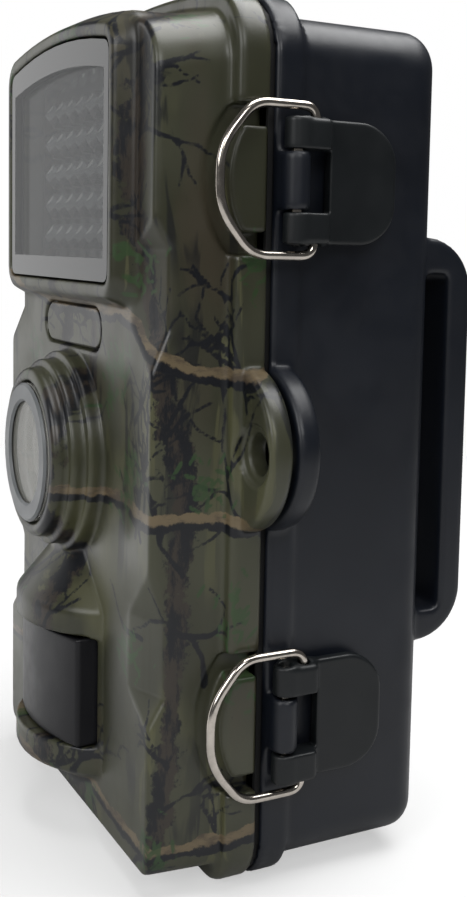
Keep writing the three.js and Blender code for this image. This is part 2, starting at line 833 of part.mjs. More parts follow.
function modeSwitch() {
  const { x, z } = knobPlace();
  const front = -BOARD_FACE + GAP;
  const top = panelFrontY - GAP - 0.6;
  const shell = box(x - 4.5, x + KNOB_TRAVEL + 4.5, front, top, z - 3, z + 3);
  return cut(shell, box(x - 2.5, x + KNOB_TRAVEL + 2.5, top - 1.6, top + 1, z - 1.4, z + 1.4));
}

function modeKnob() {
  const { x, z } = knobPlace();
  const floor = panelFrontY - GAP - 0.6 - 1.6 + GAP;
  return joined(
    box(x - 2, x + 2, floor, panelBackY + 1, z - 1, z + 1),
    box(x - 0.5, x + 0.5, panelBackY + 0.9, panelBackY + 1.3, z - 1, z + 1),
  );
}

function cardSlot() {
  const half = CARD.width / 2;
  const y0 = -BOARD_FACE + GAP;
  const y1 = y0 + CARD.thickness + 1.2;
  const reach = half + 0.9;
  const cage = box(CARD_CENTRE - reach, CARD_CENTRE + reach, y0, y1, cardBottom() + 4, cardTop() + 1.2);
  const throat = box(
    CARD_CENTRE - half - GAP,
    CARD_CENTRE + half + GAP,
    y0 + 0.3,
    y0 + 0.9 + CARD.thickness,
    cardBottom() - 1,
    cardTop() + GAP,
  );
  return cut(cage, throat);
}

const cardBottom = () => BAY_TOP - 1.5;
const cardTop = () => cardBottom() + CARD.length;

function memoryCard() {
  const half = CARD.width / 2;
  const y0 = -BOARD_FACE + GAP + 0.6;
  const shape = new THREE.Shape();
  shape.moveTo(CARD_CENTRE - half, cardBottom());
  shape.lineTo(CARD_CENTRE + half, cardBottom());
  shape.lineTo(CARD_CENTRE + half, cardTop() - 4);
  shape.lineTo(CARD_CENTRE + half - 4, cardTop());
  shape.lineTo(CARD_CENTRE - half, cardTop());
  return slab(shape, y0, y0 + CARD.thickness);
}

function usbPort() {
  const y0 = -BOARD_FACE + GAP;
  const z0 = BOARD_BOTTOM - 1;
  const half = USB.width / 2;
  const shell = box(USB.centre - half, USB.centre + half, y0, y0 + USB.height, z0, z0 + USB.depth);
  const mouth = box(
    USB.centre - half + 0.5,
    USB.centre + half - 0.5,
    y0 + 0.5,
    y0 + USB.height - 0.5,
    z0 - 1,
    z0 + USB.depth - 2,
  );
  const tongue = box(USB.centre - 2.6, USB.centre + 2.6, y0 + 1.7, y0 + 2.4, z0 + 0.8, z0 + USB.depth - 1.9);
  return joined(cut(shell, mouth), tongue);
}

function speaker() {
  const y0 = -BOARD_FACE - BOARD_THICKNESS - 4.2;
  return stud(SPEAKER_RADIUS, y0, y0 + 3.6, -18, BUTTONS_CENTRE - 16, 24);
}

function screwFacing(x, z, seatY) {
  const head = seatY + SCREW.headHeight;
  const body = turnedFacing(
    [
      [0, seatY - SCREW.length],
      [SCREW.shank, seatY - SCREW.length],
      [SCREW.shank, seatY],
      [SCREW.head, seatY],
      [SCREW.head, head - 0.4],
      [SCREW.head - 0.5, head],
      [0, head],
    ],
    x,
    z,
    8,
  );
  const slot = box(x - 1.5, x + 1.5, head - 0.7, head + 1, z - 0.3, z + 0.3);
  const cross = box(x - 0.3, x + 0.3, head - 0.7, head + 1, z - 1.5, z + 1.5);
  return cut(body, slot, cross);
}

// ---------------------------------------------------------------- rear housing

function rearShell() {
  const step = (y, inset) => ({
    y,
    shape: caseShape(
      REAR_INSET + inset,
      REAR_FOOT + inset,
      rearCrown - inset,
      ARCH_RISE,
      Math.max(REAR_CORNER - inset, 1.5),
    ),
  });
  const sections = [step(seam + 1, 0)];
  const turns = 4;
  for (let k = 0; k <= turns; k++) {
    const angle = (k * Math.PI) / (2 * turns);
    const y = REAR_DEPTH - REAR_EDGE_ROUND * (1 - Math.sin(angle));
    sections.push(step(y, REAR_EDGE_ROUND * (1 - Math.cos(angle))));
  }
  return loft(sections);
}

function strapLoop(side) {
  const shape = new THREE.Shape();
  const back = LOOP_BACK;
  shape.moveTo(REAR_DEPTH - WALL + 0.5, LOOP_BOTTOM);
  shape.lineTo(back - LOOP_CORNER, LOOP_BOTTOM);
  shape.absarc(back - LOOP_CORNER, LOOP_BOTTOM + LOOP_CORNER, LOOP_CORNER, -Math.PI / 2, 0, false);
  shape.lineTo(back, LOOP_TOP - LOOP_CORNER);
  shape.absarc(back - LOOP_CORNER, LOOP_TOP - LOOP_CORNER, LOOP_CORNER, 0, Math.PI / 2, false);
  shape.lineTo(REAR_DEPTH - WALL + 0.5, LOOP_TOP);
  const slotBack = REAR_DEPTH + LOOP_SLOT_DEPTH;
  const slot = roundedRect(REAR_DEPTH, slotBack, LOOP_SLOT_BOTTOM, LOOP_SLOT_TOP, 1.5);
  shape.holes.push(slot);
  const outer = rearHalf - LOOP_INSET;
  const x = side > 0 ? [outer - LOOP_LENGTH, outer] : [-outer, LOOP_LENGTH - outer];
  return plank(shape, ...x);
}

function latchKnuckle(z) {
  const half = LEVER_SLOT / 2 - GAP;
  const barrel = post(LATCH_KNUCKLE_RADIUS, z - half, z + half, leverAxisX, LEVER_AXIS_BACK, 20);
  const reach = LATCH_KNUCKLE_RADIUS;
  const [front, back] = [LEVER_AXIS_BACK - reach, LEVER_AXIS_BACK + reach];
  const web = box(halfFlange - 1, leverAxisX, front, back, z - half, z + half);
  return cut(joined(barrel, web), leverBore(z, LEVER_WIDTH));
}

function leverBore(z, length) {
  return post(LATCH_PIN_RADIUS + 0.2, z - length, z + length, leverAxisX, LEVER_AXIS_BACK, 16);
}

function rearKnuckle(z) {
  const half = HINGE_LENGTH / 6;
  return cut(hingeKnuckle(z - half, z + half, seam, HINGE_KNUCKLE_RADIUS), hingeBore(z));
}

function rearCavity() {
  const cavityCorner = REAR_CORNER - WALL;
  return slab(
    archShape(cavityHalf, REAR_FOOT + WALL, rearCrown - WALL, ARCH_RISE, cavityCorner, cavityCorner),
    seam - 1,
    REAR_DEPTH - WALL,
  );
}

function rearHousing() {
  let housing = joined(flangePlate(seam, rearFlangeY), rearShell());
  const lug = cut(
    lugDisc(seam, seam + LUG_THICKNESS),
    box(-halfFlange, halfFlange - 1, -1, LUG_THICKNESS + 2, 0, HEIGHT),
  );
  housing = joined(housing, lug, strapLoop(1), strapLoop(-1));
  for (const z of Object.values(LATCH_HEIGHTS)) housing = housing.add(latchKnuckle(z));
  for (const z of Object.values(HINGE_HEIGHTS)) housing = housing.add(rearKnuckle(z));
  const bossTop = REAR_FOOT + TRIPOD_INSERT.length - 1;
  const boss = post(TRIPOD_INSERT.radius + 2, REAR_FOOT + 1, bossTop, 0, UNDERSIDE_ROW);
  housing = joined(cut(housing, rearCavity()), boss);
  return cut(
    housing,
    gasketGroove(),
    lugBore(-1, LUG_THICKNESS + 1),
    post(TRIPOD_INSERT.radius + GAP, 0, REAR_FOOT + TRIPOD_INSERT.length + 1, 0, UNDERSIDE_ROW),
    post(JACK.radius + GAP, 0, REAR_FOOT + WALL + 1, JACK.centre, UNDERSIDE_ROW),
  );
}


function gasketRing(margin, y0, y1) {
  const outer = GASKET_INSET - margin;
  const inner = GASKET_INSET + GASKET_WIDTH + margin;
  const ring = (inset) => caseShape(inset, inset, HEIGHT - inset, ARCH_RISE, FLANGE_CORNER - inset);
  return cut(slab(ring(outer), y0, y1), slab(ring(inner), y0 - 1, y1 + 1));
}

const gasketGroove = () => gasketRing(0.15, seam - 1, seam + GASKET_DEPTH);
const gasket = () => gasketRing(0, -seam + 0.2, seam + GASKET_DEPTH - GAP);

function tripodInsert() {
  const top = REAR_FOOT + TRIPOD_INSERT.length;
  const insert = post(TRIPOD_INSERT.radius, REAR_FOOT, top, 0, UNDERSIDE_ROW, 20);
  return cut(insert, post(TRIPOD_BORE, REAR_FOOT - 1, top - 1.5, 0, UNDERSIDE_ROW, 20));
}

function dcJack() {
  const floor = REAR_FOOT + 0.4;
  const shell = post(JACK.radius, floor, floor + JACK.length, JACK.centre, UNDERSIDE_ROW, 20);
  const bore = post(JACK.bore, floor - 1, floor + JACK.length - 2, JACK.centre, UNDERSIDE_ROW);
  const pin = post(0.9, floor + 4.5, floor + JACK.length - 1.5, JACK.centre, UNDERSIDE_ROW, 10);
  return joined(cut(shell, bore), pin);
}

function dcPlug() {
  const top = REAR_FOOT - GAP;
  return turned(
    [
      [0, top - PLUG_HEAD.height],
      [PLUG_HEAD.radius - 0.5, top - PLUG_HEAD.height],
      [PLUG_HEAD.radius, top - PLUG_HEAD.height + 0.5],
      [PLUG_HEAD.radius, top],
      [JACK.bore - GAP, top],
      [JACK.bore - GAP, top + 4],
      [0, top + 4],
    ],
    JACK.centre,
    UNDERSIDE_ROW,
    20,
  );
}

// ---------------------------------------------------------------- battery bay

const cellX = (k) => (k - (CELL_COLUMNS - 1) / 2) * CELL_PITCH;
const cellY = REAR_DEPTH - WALL - GAP - TRAY_WALL - GAP - CELL_RADIUS;
const rowHeight = 2 * STRIP_THICKNESS + SPRING_LENGTH + CELL_LENGTH + 5 * GAP;
const rowBottom = (row) => TRAY_BOTTOM + TRAY_WALL + row * (rowHeight + TRAY_DIVIDER);
const trayHalf = (CELL_COLUMNS * CELL_PITCH) / 2 + TRAY_WALL;

function batteryTray() {
  const top = rowBottom(1) + rowHeight + TRAY_WALL;
  const back = REAR_DEPTH - WALL - GAP;
  let tray = box(-trayHalf, trayHalf, TRAY_FRONT, back, TRAY_BOTTOM, top);
  for (const row of [0, 1]) {
    const z0 = rowBottom(row);
    const z1 = z0 + rowHeight;
    for (let k = 0; k < CELL_COLUMNS; k++)
      tray = cut(tray, post(CELL_RADIUS + GAP, z0, z1, cellX(k), cellY, 20));
    tray = cut(tray, box(TRAY_WALL - trayHalf, trayHalf - TRAY_WALL, TRAY_FRONT - 1, cellY, z0, z1));
  }
  for (const [x, z] of trayScrewPlaces()) {
    const hole = stud(SCREW.shank + GAP, cellY, back + 1, x, z, 12);
    tray = cut(tray, hole, stud(SCREW.head + GAP, 0, cellY + 4, x, z, 12));
  }
  return tray;
}

// The tray's screws pass between the cells, through its back.
function trayScrewPlaces() {
  const z = rowBottom(0) + rowHeight + TRAY_DIVIDER / 2;
  return [
    [-CELL_PITCH, z],
    [CELL_PITCH, z],
  ];
}

// Cells alternate end for end along a row; a flipped cell has its spring at the top.
const flipped = (row, k) => (row + k) % 2 === 1;

function cell(row, k) {
  const low = rowBottom(row) + GAP + STRIP_THICKNESS + GAP;
  const z0 = flipped(row, k) ? low + 0.4 : low + SPRING_LENGTH + GAP;
  const z1 = z0 + CELL_LENGTH - 0.4;
  const shoulder = z1 - CELL_NUB_LENGTH;
  const profile = [
    [0, z0],
    [CELL_RADIUS - 0.6, z0],
    [CELL_RADIUS, z0 + 0.6],
    [CELL_RADIUS, shoulder - 0.6],
    [CELL_RADIUS - 0.6, shoulder],
    [CELL_NUB_RADIUS, shoulder],
    [CELL_NUB_RADIUS, z1],
    [0, z1],
  ];
  const up = flipped(row, k) ? profile.map(([r, z]) => [r, z0 + z1 - z]).reverse() : profile;
  return turned(up, cellX(k), cellY);
}

// A contact strip at the bottom or top of a row, with a spring for every second cell.
function contactStrip(row, atTop) {
  const low = rowBottom(row) + GAP;
  const high = rowBottom(row) + rowHeight - GAP;
  const z0 = atTop ? high - STRIP_THICKNESS : low;
  const half = trayHalf - TRAY_WALL - GAP;
  let strip = box(-half, half, cellY - 5, cellY - 0.4, z0, z0 + STRIP_THICKNESS);
  for (let k = 0; k < CELL_COLUMNS; k++) {
    if (flipped(row, k) !== atTop) continue;
    const base = atTop ? z0 + 0.1 : z0 + STRIP_THICKNESS - 0.1;
    const tip = atTop ? base - SPRING_LENGTH : base + SPRING_LENGTH;
    const profile = [
      [0, base],
      [4.2, base],
      [2.6, tip],
      [0, tip],
    ];
    strip = strip.add(turned(atTop ? profile.reverse() : profile, cellX(k), cellY - 2.7, 12));
  }
  return strip;
}

// ---------------------------------------------------------------- latches

// Lever outline in x and y: a barrel at the hinge, a thick root and a thin free plate.
function leverShape() {
  const x0 = leverAxisX - LEVER_ROOT_THICKNESS / 2;
  const x1 = leverAxisX + LEVER_ROOT_THICKNESS / 2;
  const rootEnd = BAIL_AXIS_BACK + 2;
  const shape = new THREE.Shape();
  shape.moveTo(x0, LEVER_AXIS_BACK);
  shape.absarc(leverAxisX, LEVER_AXIS_BACK, LEVER_ROOT_THICKNESS / 2, Math.PI, 2 * Math.PI, false);
  shape.lineTo(x1, rootEnd - 0.6);
  shape.lineTo(x0 + LEVER_THICKNESS + 0.6, rootEnd + 2.6);
  shape.lineTo(x0 + LEVER_THICKNESS, LEVER_REACH);
  shape.lineTo(x0, LEVER_REACH);
  return shape;
}

function latchLever(z) {
  const half = LEVER_WIDTH / 2;
  const plate = column(leverShape(), z - half, z + half);
  const outline = new THREE.Shape();
  outline.moveTo(-1, z - half);
  outline.lineTo(LEVER_REACH - LEVER_CORNER, z - half);
  outline.quadraticCurveTo(LEVER_REACH, z - half, LEVER_REACH, z);
  outline.quadraticCurveTo(LEVER_REACH, z + half, LEVER_REACH - LEVER_CORNER, z + half);
  outline.lineTo(-1, z + half);
  const rounded = plate.intersect(plank(outline, halfFlange - 2, leverAxisX + 6));
  const slot = LEVER_SLOT / 2;
  const socket = BAIL_WIRE / 2 + GAP;
  const pocket = (from, to) => post(socket, from, to, leverAxisX, BAIL_AXIS_BACK, 12);
  const pocketDepth = half - 2.9;
  return cut(
    rounded,
    box(halfFlange - 3, leverAxisX + 6, -2, LEVER_SLOT_END, z - slot, z + slot),
    leverBore(z, LEVER_WIDTH),
    pocket(z - half - 1, z - pocketDepth),
    pocket(z + pocketDepth, z + half + 1),
  );
}

// The wire bail: pivot ends turned into the lever, straight runs forward and a bowed nose.
function latchBail(z) {
  const half = LEVER_WIDTH / 2 + BAIL_STANDOFF;
  const end = LEVER_WIDTH / 2 - 2.4;
  const at = (y, dz) => new THREE.Vector3(leverAxisX, y, z + dz);
  const route = (side) => [
    at(BAIL_AXIS_BACK, side * end),
    at(BAIL_AXIS_BACK, side * (half - 1.6)),
    at(BAIL_AXIS_BACK - 0.7, side * (half - 0.4)),
    at(BAIL_AXIS_BACK - 2.4, side * half),
    at(-2.6, side * half),
    at(-5.2, side * (half - 0.8)),
    at(-7.2, side * (BAIL_NOSE_HALF + 0.8)),
    at(-9.2, side * BAIL_NOSE_HALF * 0.55),
  ];
  const stations = [...route(1), at(-BAIL_FRONT, 0), ...route(-1).reverse()];
  const smooth = new THREE.CatmullRomCurve3(stations, false, "centripetal");
  const section = new THREE.Shape();
  section.absarc(0, 0, BAIL_WIRE / 2, 0, 2 * Math.PI, false);
  const geometry = new THREE.ExtrudeGeometry(section, {
    steps: 34,
    extrudePath: smooth,
    curveSegments: 4,
    bevelEnabled: false,
  });
  return solid(geometry);
}

// ---------------------------------------------------------------- assembly

const assembly = new THREE.Group();

function piece(name, body, material) {
  const mesh = new THREE.Mesh(geometryOf(body), material);
  mesh.name = name;
  assembly.add(mesh);
}

piece("rear_housing", rearHousing(), blackPlastic);
piece("gasket", gasket(), rubber);
piece("battery_tray", batteryTray(), blackPlastic);
for (const row of [0, 1]) {
  for (let k = 0; k < CELL_COLUMNS; k++) {
    piece(`cell_${row * CELL_COLUMNS + k + 1}`, cell(row, k), cellJacket);
  }
  piece(`contact_strip_${2 * row + 1}`, contactStrip(row, false), nickel);
  piece(`contact_strip_${2 * row + 2}`, contactStrip(row, true), nickel);
}
const traySeat = cellY + 4 - 2;
trayScrewPlaces().forEach(([x, z], k) => piece(`tray_screw_${k + 1}`, screwFacing(x, z, traySeat), nickel));
piece("tripod_insert", tripodInsert(), brass);
piece("dc_jack", dcJack(), blackPlastic);
piece("dc_plug", dcPlug(), rubber);

for (const [place, z] of Object.entries(LATCH_HEIGHTS)) {
  const half = LEVER_WIDTH / 2 - 0.4;
  piece(`latch_lever_${place}`, latchLever(z), leverPlastic);
  piece(`latch_bail_${place}`, latchBail(z), steel);
  const pin = post(LATCH_PIN_RADIUS, z - half, z + half, leverAxisX, LEVER_AXIS_BACK, 16);
  piece(`latch_pin_${place}`, pin, steel);
}
for (const [place, z] of Object.entries(HINGE_HEIGHTS)) {
  const half = HINGE_LENGTH / 2 - 0.5;
  piece(`hinge_pin_${place}`, post(HINGE_PIN_RADIUS, z - half, z + half, hingeAxisX, 0, 20), steel);
}

piece("front_cover", frontCover(), camouflage);
piece("led_window", slab(windowShape(GAP), -WINDOW_FACE, windowBackY), darkGlass);
piece("led_board", ledBoard(), circuitBoard);
piece("lens_ring", lensRing(), blackPlastic);
piece(
  "lens_glass",
  stud(LENS_RING_RADIUS, lensGlassFront, lensGlassFront + LENS_GLASS_THICKNESS, 0, LENS_HEIGHT, 32),
  clearGlass,
);
piece("camera_module", cameraModule(), blackPlastic);
piece("pir_window", pirWindow(), filterPlastic);
piece("pir_sensor", pirSensor(), nickel);
piece("name_plate", slab(plateShape(0), -FRONT_DEPTH + 0.2, -FRONT_DEPTH + PLATE_RECESS), camouflage);
piece("main_board", mainBoard(), circuitBoard);
piece("inner_panel", innerPanel(), blackPlastic);
piece("display_module", displayModule(), whitePlastic);
piece("display_window", slab(displayView(1.5), panelBackY - 0.8, panelBackY), clearGlass);
for (const [name, x, z] of buttonPlaces()) piece(name, buttonCap(x, z), leverPlastic);
piece("mode_switch", modeSwitch(), nickel);
piece("mode_knob", modeKnob(), leverPlastic);
piece("card_slot", cardSlot(), nickel);
piece("memory_card", memoryCard(), filterPlastic);
piece("usb_port", usbPort(), nickel);
piece("speaker", speaker(), blackPlastic);
panelScrewPlaces().forEach(([x, z], k) => {
  piece(`panel_screw_${k + 1}`, screwFacing(x, z, panelBackY + GAP), nickel);
});

// The part's origin is the middle of the base of its bounding box.
const right = halfFlange + LUG_REACH;
const left = hingeAxisX - HINGE_KNUCKLE_RADIUS;
assembly.position.set(-(right + left) / 2, (HOOD_FACE - LOOP_BACK) / 2, 0);

const part = new THREE.Group();
part.add(assembly);
export default part;
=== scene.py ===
"""Trail camera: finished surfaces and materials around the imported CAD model.

Lengths are in millimetres in the CAD's own seam frame (x = 0 on the case's middle, y = 0 in the seam
between its halves, z = 0 at the base) and are turned into the row's metres by to_row.
"""

import json
import math

import bmesh
import bpy
import numpy as np
from mathutils import Matrix, Vector


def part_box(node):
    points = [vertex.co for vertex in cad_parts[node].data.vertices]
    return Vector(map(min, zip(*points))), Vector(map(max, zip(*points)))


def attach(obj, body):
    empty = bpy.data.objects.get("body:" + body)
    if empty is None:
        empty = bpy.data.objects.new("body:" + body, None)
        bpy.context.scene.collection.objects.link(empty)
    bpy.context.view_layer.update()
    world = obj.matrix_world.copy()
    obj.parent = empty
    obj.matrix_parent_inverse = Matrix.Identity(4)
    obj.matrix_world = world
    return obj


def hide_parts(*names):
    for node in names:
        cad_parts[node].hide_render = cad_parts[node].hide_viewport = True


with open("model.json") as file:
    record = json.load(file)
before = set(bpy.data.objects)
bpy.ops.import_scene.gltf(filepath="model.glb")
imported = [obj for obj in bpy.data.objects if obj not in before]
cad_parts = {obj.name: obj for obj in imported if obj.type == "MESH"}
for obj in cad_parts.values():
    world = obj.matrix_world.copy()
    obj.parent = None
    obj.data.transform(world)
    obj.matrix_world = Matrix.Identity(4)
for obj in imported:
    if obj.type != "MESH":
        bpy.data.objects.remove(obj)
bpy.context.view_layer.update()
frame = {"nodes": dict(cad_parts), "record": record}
NODES = frame["nodes"]

# ---------------------------------------------------------------- places read from the frame

WINDOW_FACE = 20.8
MM = 1000.0


def raw_box(node):
    low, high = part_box(node)
    return np.array(low) * MM, np.array(high) * MM


_window_low, _window_high = raw_box("led_window")
SHIFT = np.array([(_window_low[0] + _window_high[0]) / 2, _window_low[1] + WINDOW_FACE, 0.0])


def local_box(node):
    """A node's lowest and highest corner in the seam frame, in millimetres."""
    low, high = raw_box(node)
    return low - SHIFT, high - SHIFT


def to_row(points):
    """Seam-frame millimetres to row-frame metres."""
    return (np.asarray(points, float) + SHIFT) / MM


GAP = 0.3
HALF = 42.2
HEIGHT = local_box("front_cover")[1][2]
SEAM = 0.4
FRONT_FLANGE_Y = -5.7
REAR_FLANGE_Y = 5.8
FRONT_Y = -17.6
CAVITY_Y = -15
BODY_HALF = 39.6
CORNER_HALF = 38.3
LATCH_Z = [sum(local_box(f"latch_lever_{w}")[k][2] for k in (0, 1)) / 2 for w in ("lower", "upper")]
HINGE_Z = [sum(local_box(f"hinge_pin_{w}")[k][2] for k in (0, 1)) / 2 for w in ("lower", "upper")]
HINGE_X = sum(local_box("hinge_pin_upper")[k][0] for k in (0, 1)) / 2
LEVER_X = sum(local_box("latch_pin_upper")[k][0] for k in (0, 1)) / 2
LEVER_Y = sum(local_box("latch_pin_upper")[k][1] for k in (0, 1)) / 2
LENS_Z = sum(local_box("lens_glass")[k][2] for k in (0, 1)) / 2
LENS_FACE = -local_box("lens_ring")[0][1]
PIR_LOW, PIR_HIGH = local_box("pir_window")
LUG_X, LUG_Z, LUG_R = 39.4, 72.5, 13.2
LUG_HOLE_X = 46.4
REAR_HALF = 41.6
REAR_Y = 31.7
REAR_FOOT = 3.0
UNDERSIDE_Y = 20.0
JACK_X = 24.0


# ---------------------------------------------------------------- solids from distance fields


def round_max(a, b, r):
    """Intersection of two fields with its edge rounded to r."""
    u = np.maximum(a + r, 0)
    v = np.maximum(b + r, 0)
    return np.minimum(np.maximum(a, b), -r) + np.hypot(u, v)


def round_min(a, b, r):
    """Union of two fields with its inner edge filled to r."""
    return -round_max(-a, -b, r)


def block(p, low, high, r=0.4):
    """A box between two corners with rounded edges."""
    q = [np.abs(p[k] - (low[k] + high[k]) / 2) - ((high[k] - low[k]) / 2 - r) for k in range(3)]
    outside = np.sqrt(sum(np.maximum(c, 0) ** 2 for c in q))
    return outside + np.minimum(np.maximum(np.maximum(q[0], q[1]), q[2]), 0) - r


def between(coordinate, low, high):
    return np.abs(coordinate - (low + high) / 2) - (high - low) / 2


def disc(p, axis, centre, radius, low, high, r=0.3):
    """A cylinder along an axis, between two planes, with rounded edges."""
    others = [k for k in range(3) if k != axis]
    radial = np.hypot(p[others[0]] - centre[0], p[others[1]] - centre[1]) - radius
    return round_max(radial, between(p[axis], low, high), r)


def arch(p, half, bottom, crown, rise, top_r, bottom_r):
    """The case's outline, a box with an arched top, as a field in x and z."""
    radius = (half * half + rise * rise) / (2 * rise)
    top = np.hypot(p[0], p[2] - (crown - radius)) - radius
    upper = round_max(np.abs(p[0]) - half, top, top_r)
    return round_max(upper, bottom - p[2], bottom_r)


def bow(p, half, edge, face):
    """Distance to a front that bulges from y = edge at the sides to y = face in the middle."""
    bulge = edge - face
    radius = (half * half + bulge * bulge) / (2 * bulge)
    return np.hypot(p[0], p[1] - (face + radius)) - radius


def grid(low, high, step):
    axes = [np.arange(a - 2 * step, b + 3 * step, step, dtype=np.float32) for a, b in zip(low, high)]
    return np.meshgrid(*axes, indexing="ij", sparse=True)


CELL_CORNERS = [(a, b, c) for a in (0, 1) for b in (0, 1) for c in (0, 1)]
RING = ((0, 0), (1, 0), (1, 1), (0, 1))
STEEPNESS_FLOOR = 0.25
PULL = 0.8


def crossings(field):
    """The sum and the number of the places where each cell's edges cross zero."""
    total = np.zeros(tuple(n - 1 for n in field.shape) + (3,), np.float32)
    count = np.zeros(total.shape[:3], np.float32)

    def view(offset):
        return field[tuple(slice(o, n - 1 + o) for o, n in zip(offset, field.shape))]

    for start in CELL_CORNERS:
        for k in range(3):
            if start[k]:
                continue
            end = tuple(s + (1 if m == k else 0) for m, s in enumerate(start))
            a, b = view(start), view(end)
            crossing = (a < 0) != (b < 0)
            share = np.where(crossing, a / np.where(crossing, a - b, 1), 0)
            for m in range(3):
                total[..., m] += np.where(crossing, start[m] + (share if m == k else 0), 0)
            count += crossing
    return total, count


def net_quads(inside, index):
    """One quad round each grid edge that crosses the surface, facing outwards."""
    quads = []
    for k in range(3):
        u, v = (k + 1) % 3, (k + 2) % 3
        ahead = tuple(slice(1, None) if m == k else slice(None) for m in range(3))
        behind = tuple(slice(None, -1) if m == k else slice(None) for m in range(3))
        at = np.argwhere(inside[ahead] != inside[behind])
        whole = (at[:, u] > 0) & (at[:, v] > 0) & (at[:, u] < index.shape[u]) & (at[:, v] < index.shape[v])
        at = at[whole]
        enters = inside[tuple(at.T)]
        ring = []
        for du, dv in RING:
            cell = at.copy()
            cell[:, u] -= du
            cell[:, v] -= dv
            ring.append(index[tuple(cell.T)])
        quad = np.stack(ring, 1)
        quads.append(quad[enters])
        quads.append(quad[~enters][:, ::-1])
    return np.concatenate(quads)


def sampled(array, places):
    """A grid's values between its points."""
    low = np.floor(places).astype(int)
    part = places - low
    value = np.zeros(len(places), np.float32)
    for c in CELL_CORNERS:
        weight = np.prod([part[:, m] if c[m] else 1 - part[:, m] for m in range(3)], axis=0)
        at = tuple(np.minimum(low[:, m] + c[m], array.shape[m] - 1) for m in range(3))
        value += weight * array[at]
    return value


def surface(field, p):
    """Vertices, quads and normals of a field's zero surface, by surface nets on its grid."""
    axes = [np.asarray(p[k]).ravel() for k in range(3)]
    step = float(axes[0][1] - axes[0][0])
    total, count = crossings(field)
    used = count > 0
    index = np.full(used.shape, -1, np.int64)
    index[used] = np.arange(used.sum())
    verts = np.argwhere(used) + total[used] / count[used][:, None]
    normals = np.stack([sampled(slope, verts) for slope in np.gradient(field, step)], 1)
    steep = np.maximum((normals**2).sum(1), STEEPNESS_FLOOR)
    verts = verts - PULL * (sampled(field, verts) / step / steep)[:, None] * normals
    normals /= np.maximum(np.linalg.norm(normals, axis=1), 1e-6)[:, None]
    places = verts * step + np.array([axis[0] for axis in axes])
    return places, net_quads(field < 0, index), normals


def mesh_object(name, verts, faces, normals=None):
    """A smooth-shaded object from seam-frame vertices."""
    mesh = bpy.data.meshes.new(name)
    mesh.from_pydata(to_row(verts).tolist(), [], [list(map(int, f)) for f in faces])
    mesh.shade_smooth()
    mesh.validate()
    if normals is not None and len(mesh.vertices) == len(normals):
        mesh.normals_split_custom_set_from_vertices(normals.tolist())
    obj = bpy.data.objects.new(name, mesh)
    bpy.context.collection.objects.link(obj)
    return obj


def sculpt(name, make, low, high, step):
    """An object whose surface is where the field made by make(p) is zero."""
    p = grid(low, high, step)
    shape = tuple(len(np.asarray(a).ravel()) for a in p)
    field = np.broadcast_to(make(p), shape).astype(np.float32)
    return mesh_object(name, *surface(field, p))


# ---------------------------------------------------------------- front cover

NOTCHES = ((28, 33, 45, 54), (84, 91, 103, 108))
NOTCH_REACH = 9.0
NOTCH_SLOPE = 0.3
WINDOW = dict(half=27.2, bottom=97.5, crown=138.0, rise=2.5)


def window_outline(p, border, corner=2.0):
    return arch(
        p,
        WINDOW["half"] + border,
        WINDOW["bottom"] - border,
        WINDOW["crown"] + np.minimum(border, 3.9),
        WINDOW["rise"],
        corner,
        corner,
    )


def notch_share(z):
    """How much of the side notch's full depth is cut at each height."""
    share = 0
    for start, full, until, end in NOTCHES:
        share = share + np.interp(z, [start, full, until, end], [0, 1, 1, 0])
    return share


def front_body(p):
    x, y, z = p
    depth = np.clip((FRONT_FLANGE_Y - y) / (FRONT_FLANGE_Y - FRONT_Y), 0, 1)
    half = BODY_HALF - (BODY_HALF - CORNER_HALF) * depth
    outline = arch(p, half, 4.0, HEIGHT - 2.6 - 2.2 * depth, 4.0, 7.0, 3.0)
    edge = CORNER_HALF - NOTCH_REACH * notch_share(z)
    dish = 0.7 * np.exp(-(((np.abs(x) - 25) / 5) ** 2) - ((z - 66) / 17) ** 2)
    face = FRONT_Y + NOTCH_SLOPE * np.maximum(np.abs(x) - edge, 0) + dish
    front = (face - y) * 0.96
    return np.maximum(round_max(outline, front, 0.8), y + 1)


def front_bezel(p):
    y = p[1]
    border = 2.1 + 1.6 * np.clip((y + WINDOW_FACE) / (WINDOW_FACE + FRONT_Y), 0, 1.4)
    outline = window_outline(p, border, 4.2)
    return np.maximum(round_max(outline, -WINDOW_FACE - 0.25 - y, 0.8), y + 10)


def lens_barrel(p):
    centre = (0, LENS_Z)
    collars = disc(p, 1, centre, 15.0, -LENS_FACE + 0.7, -10, 1.3)
    for radius, start in ((16.4, 22.9), (17.8, 20.3)):
        collars = round_min(collars, disc(p, 1, centre, radius, -start, -10, 0.35), 0.25)
    return collars


HOOD_HALF = 17.5
HOOD_FACE = -26.6
BROW_TOP = 41.4
APEX_Z = 52.5
APEX_HALF = 4.4


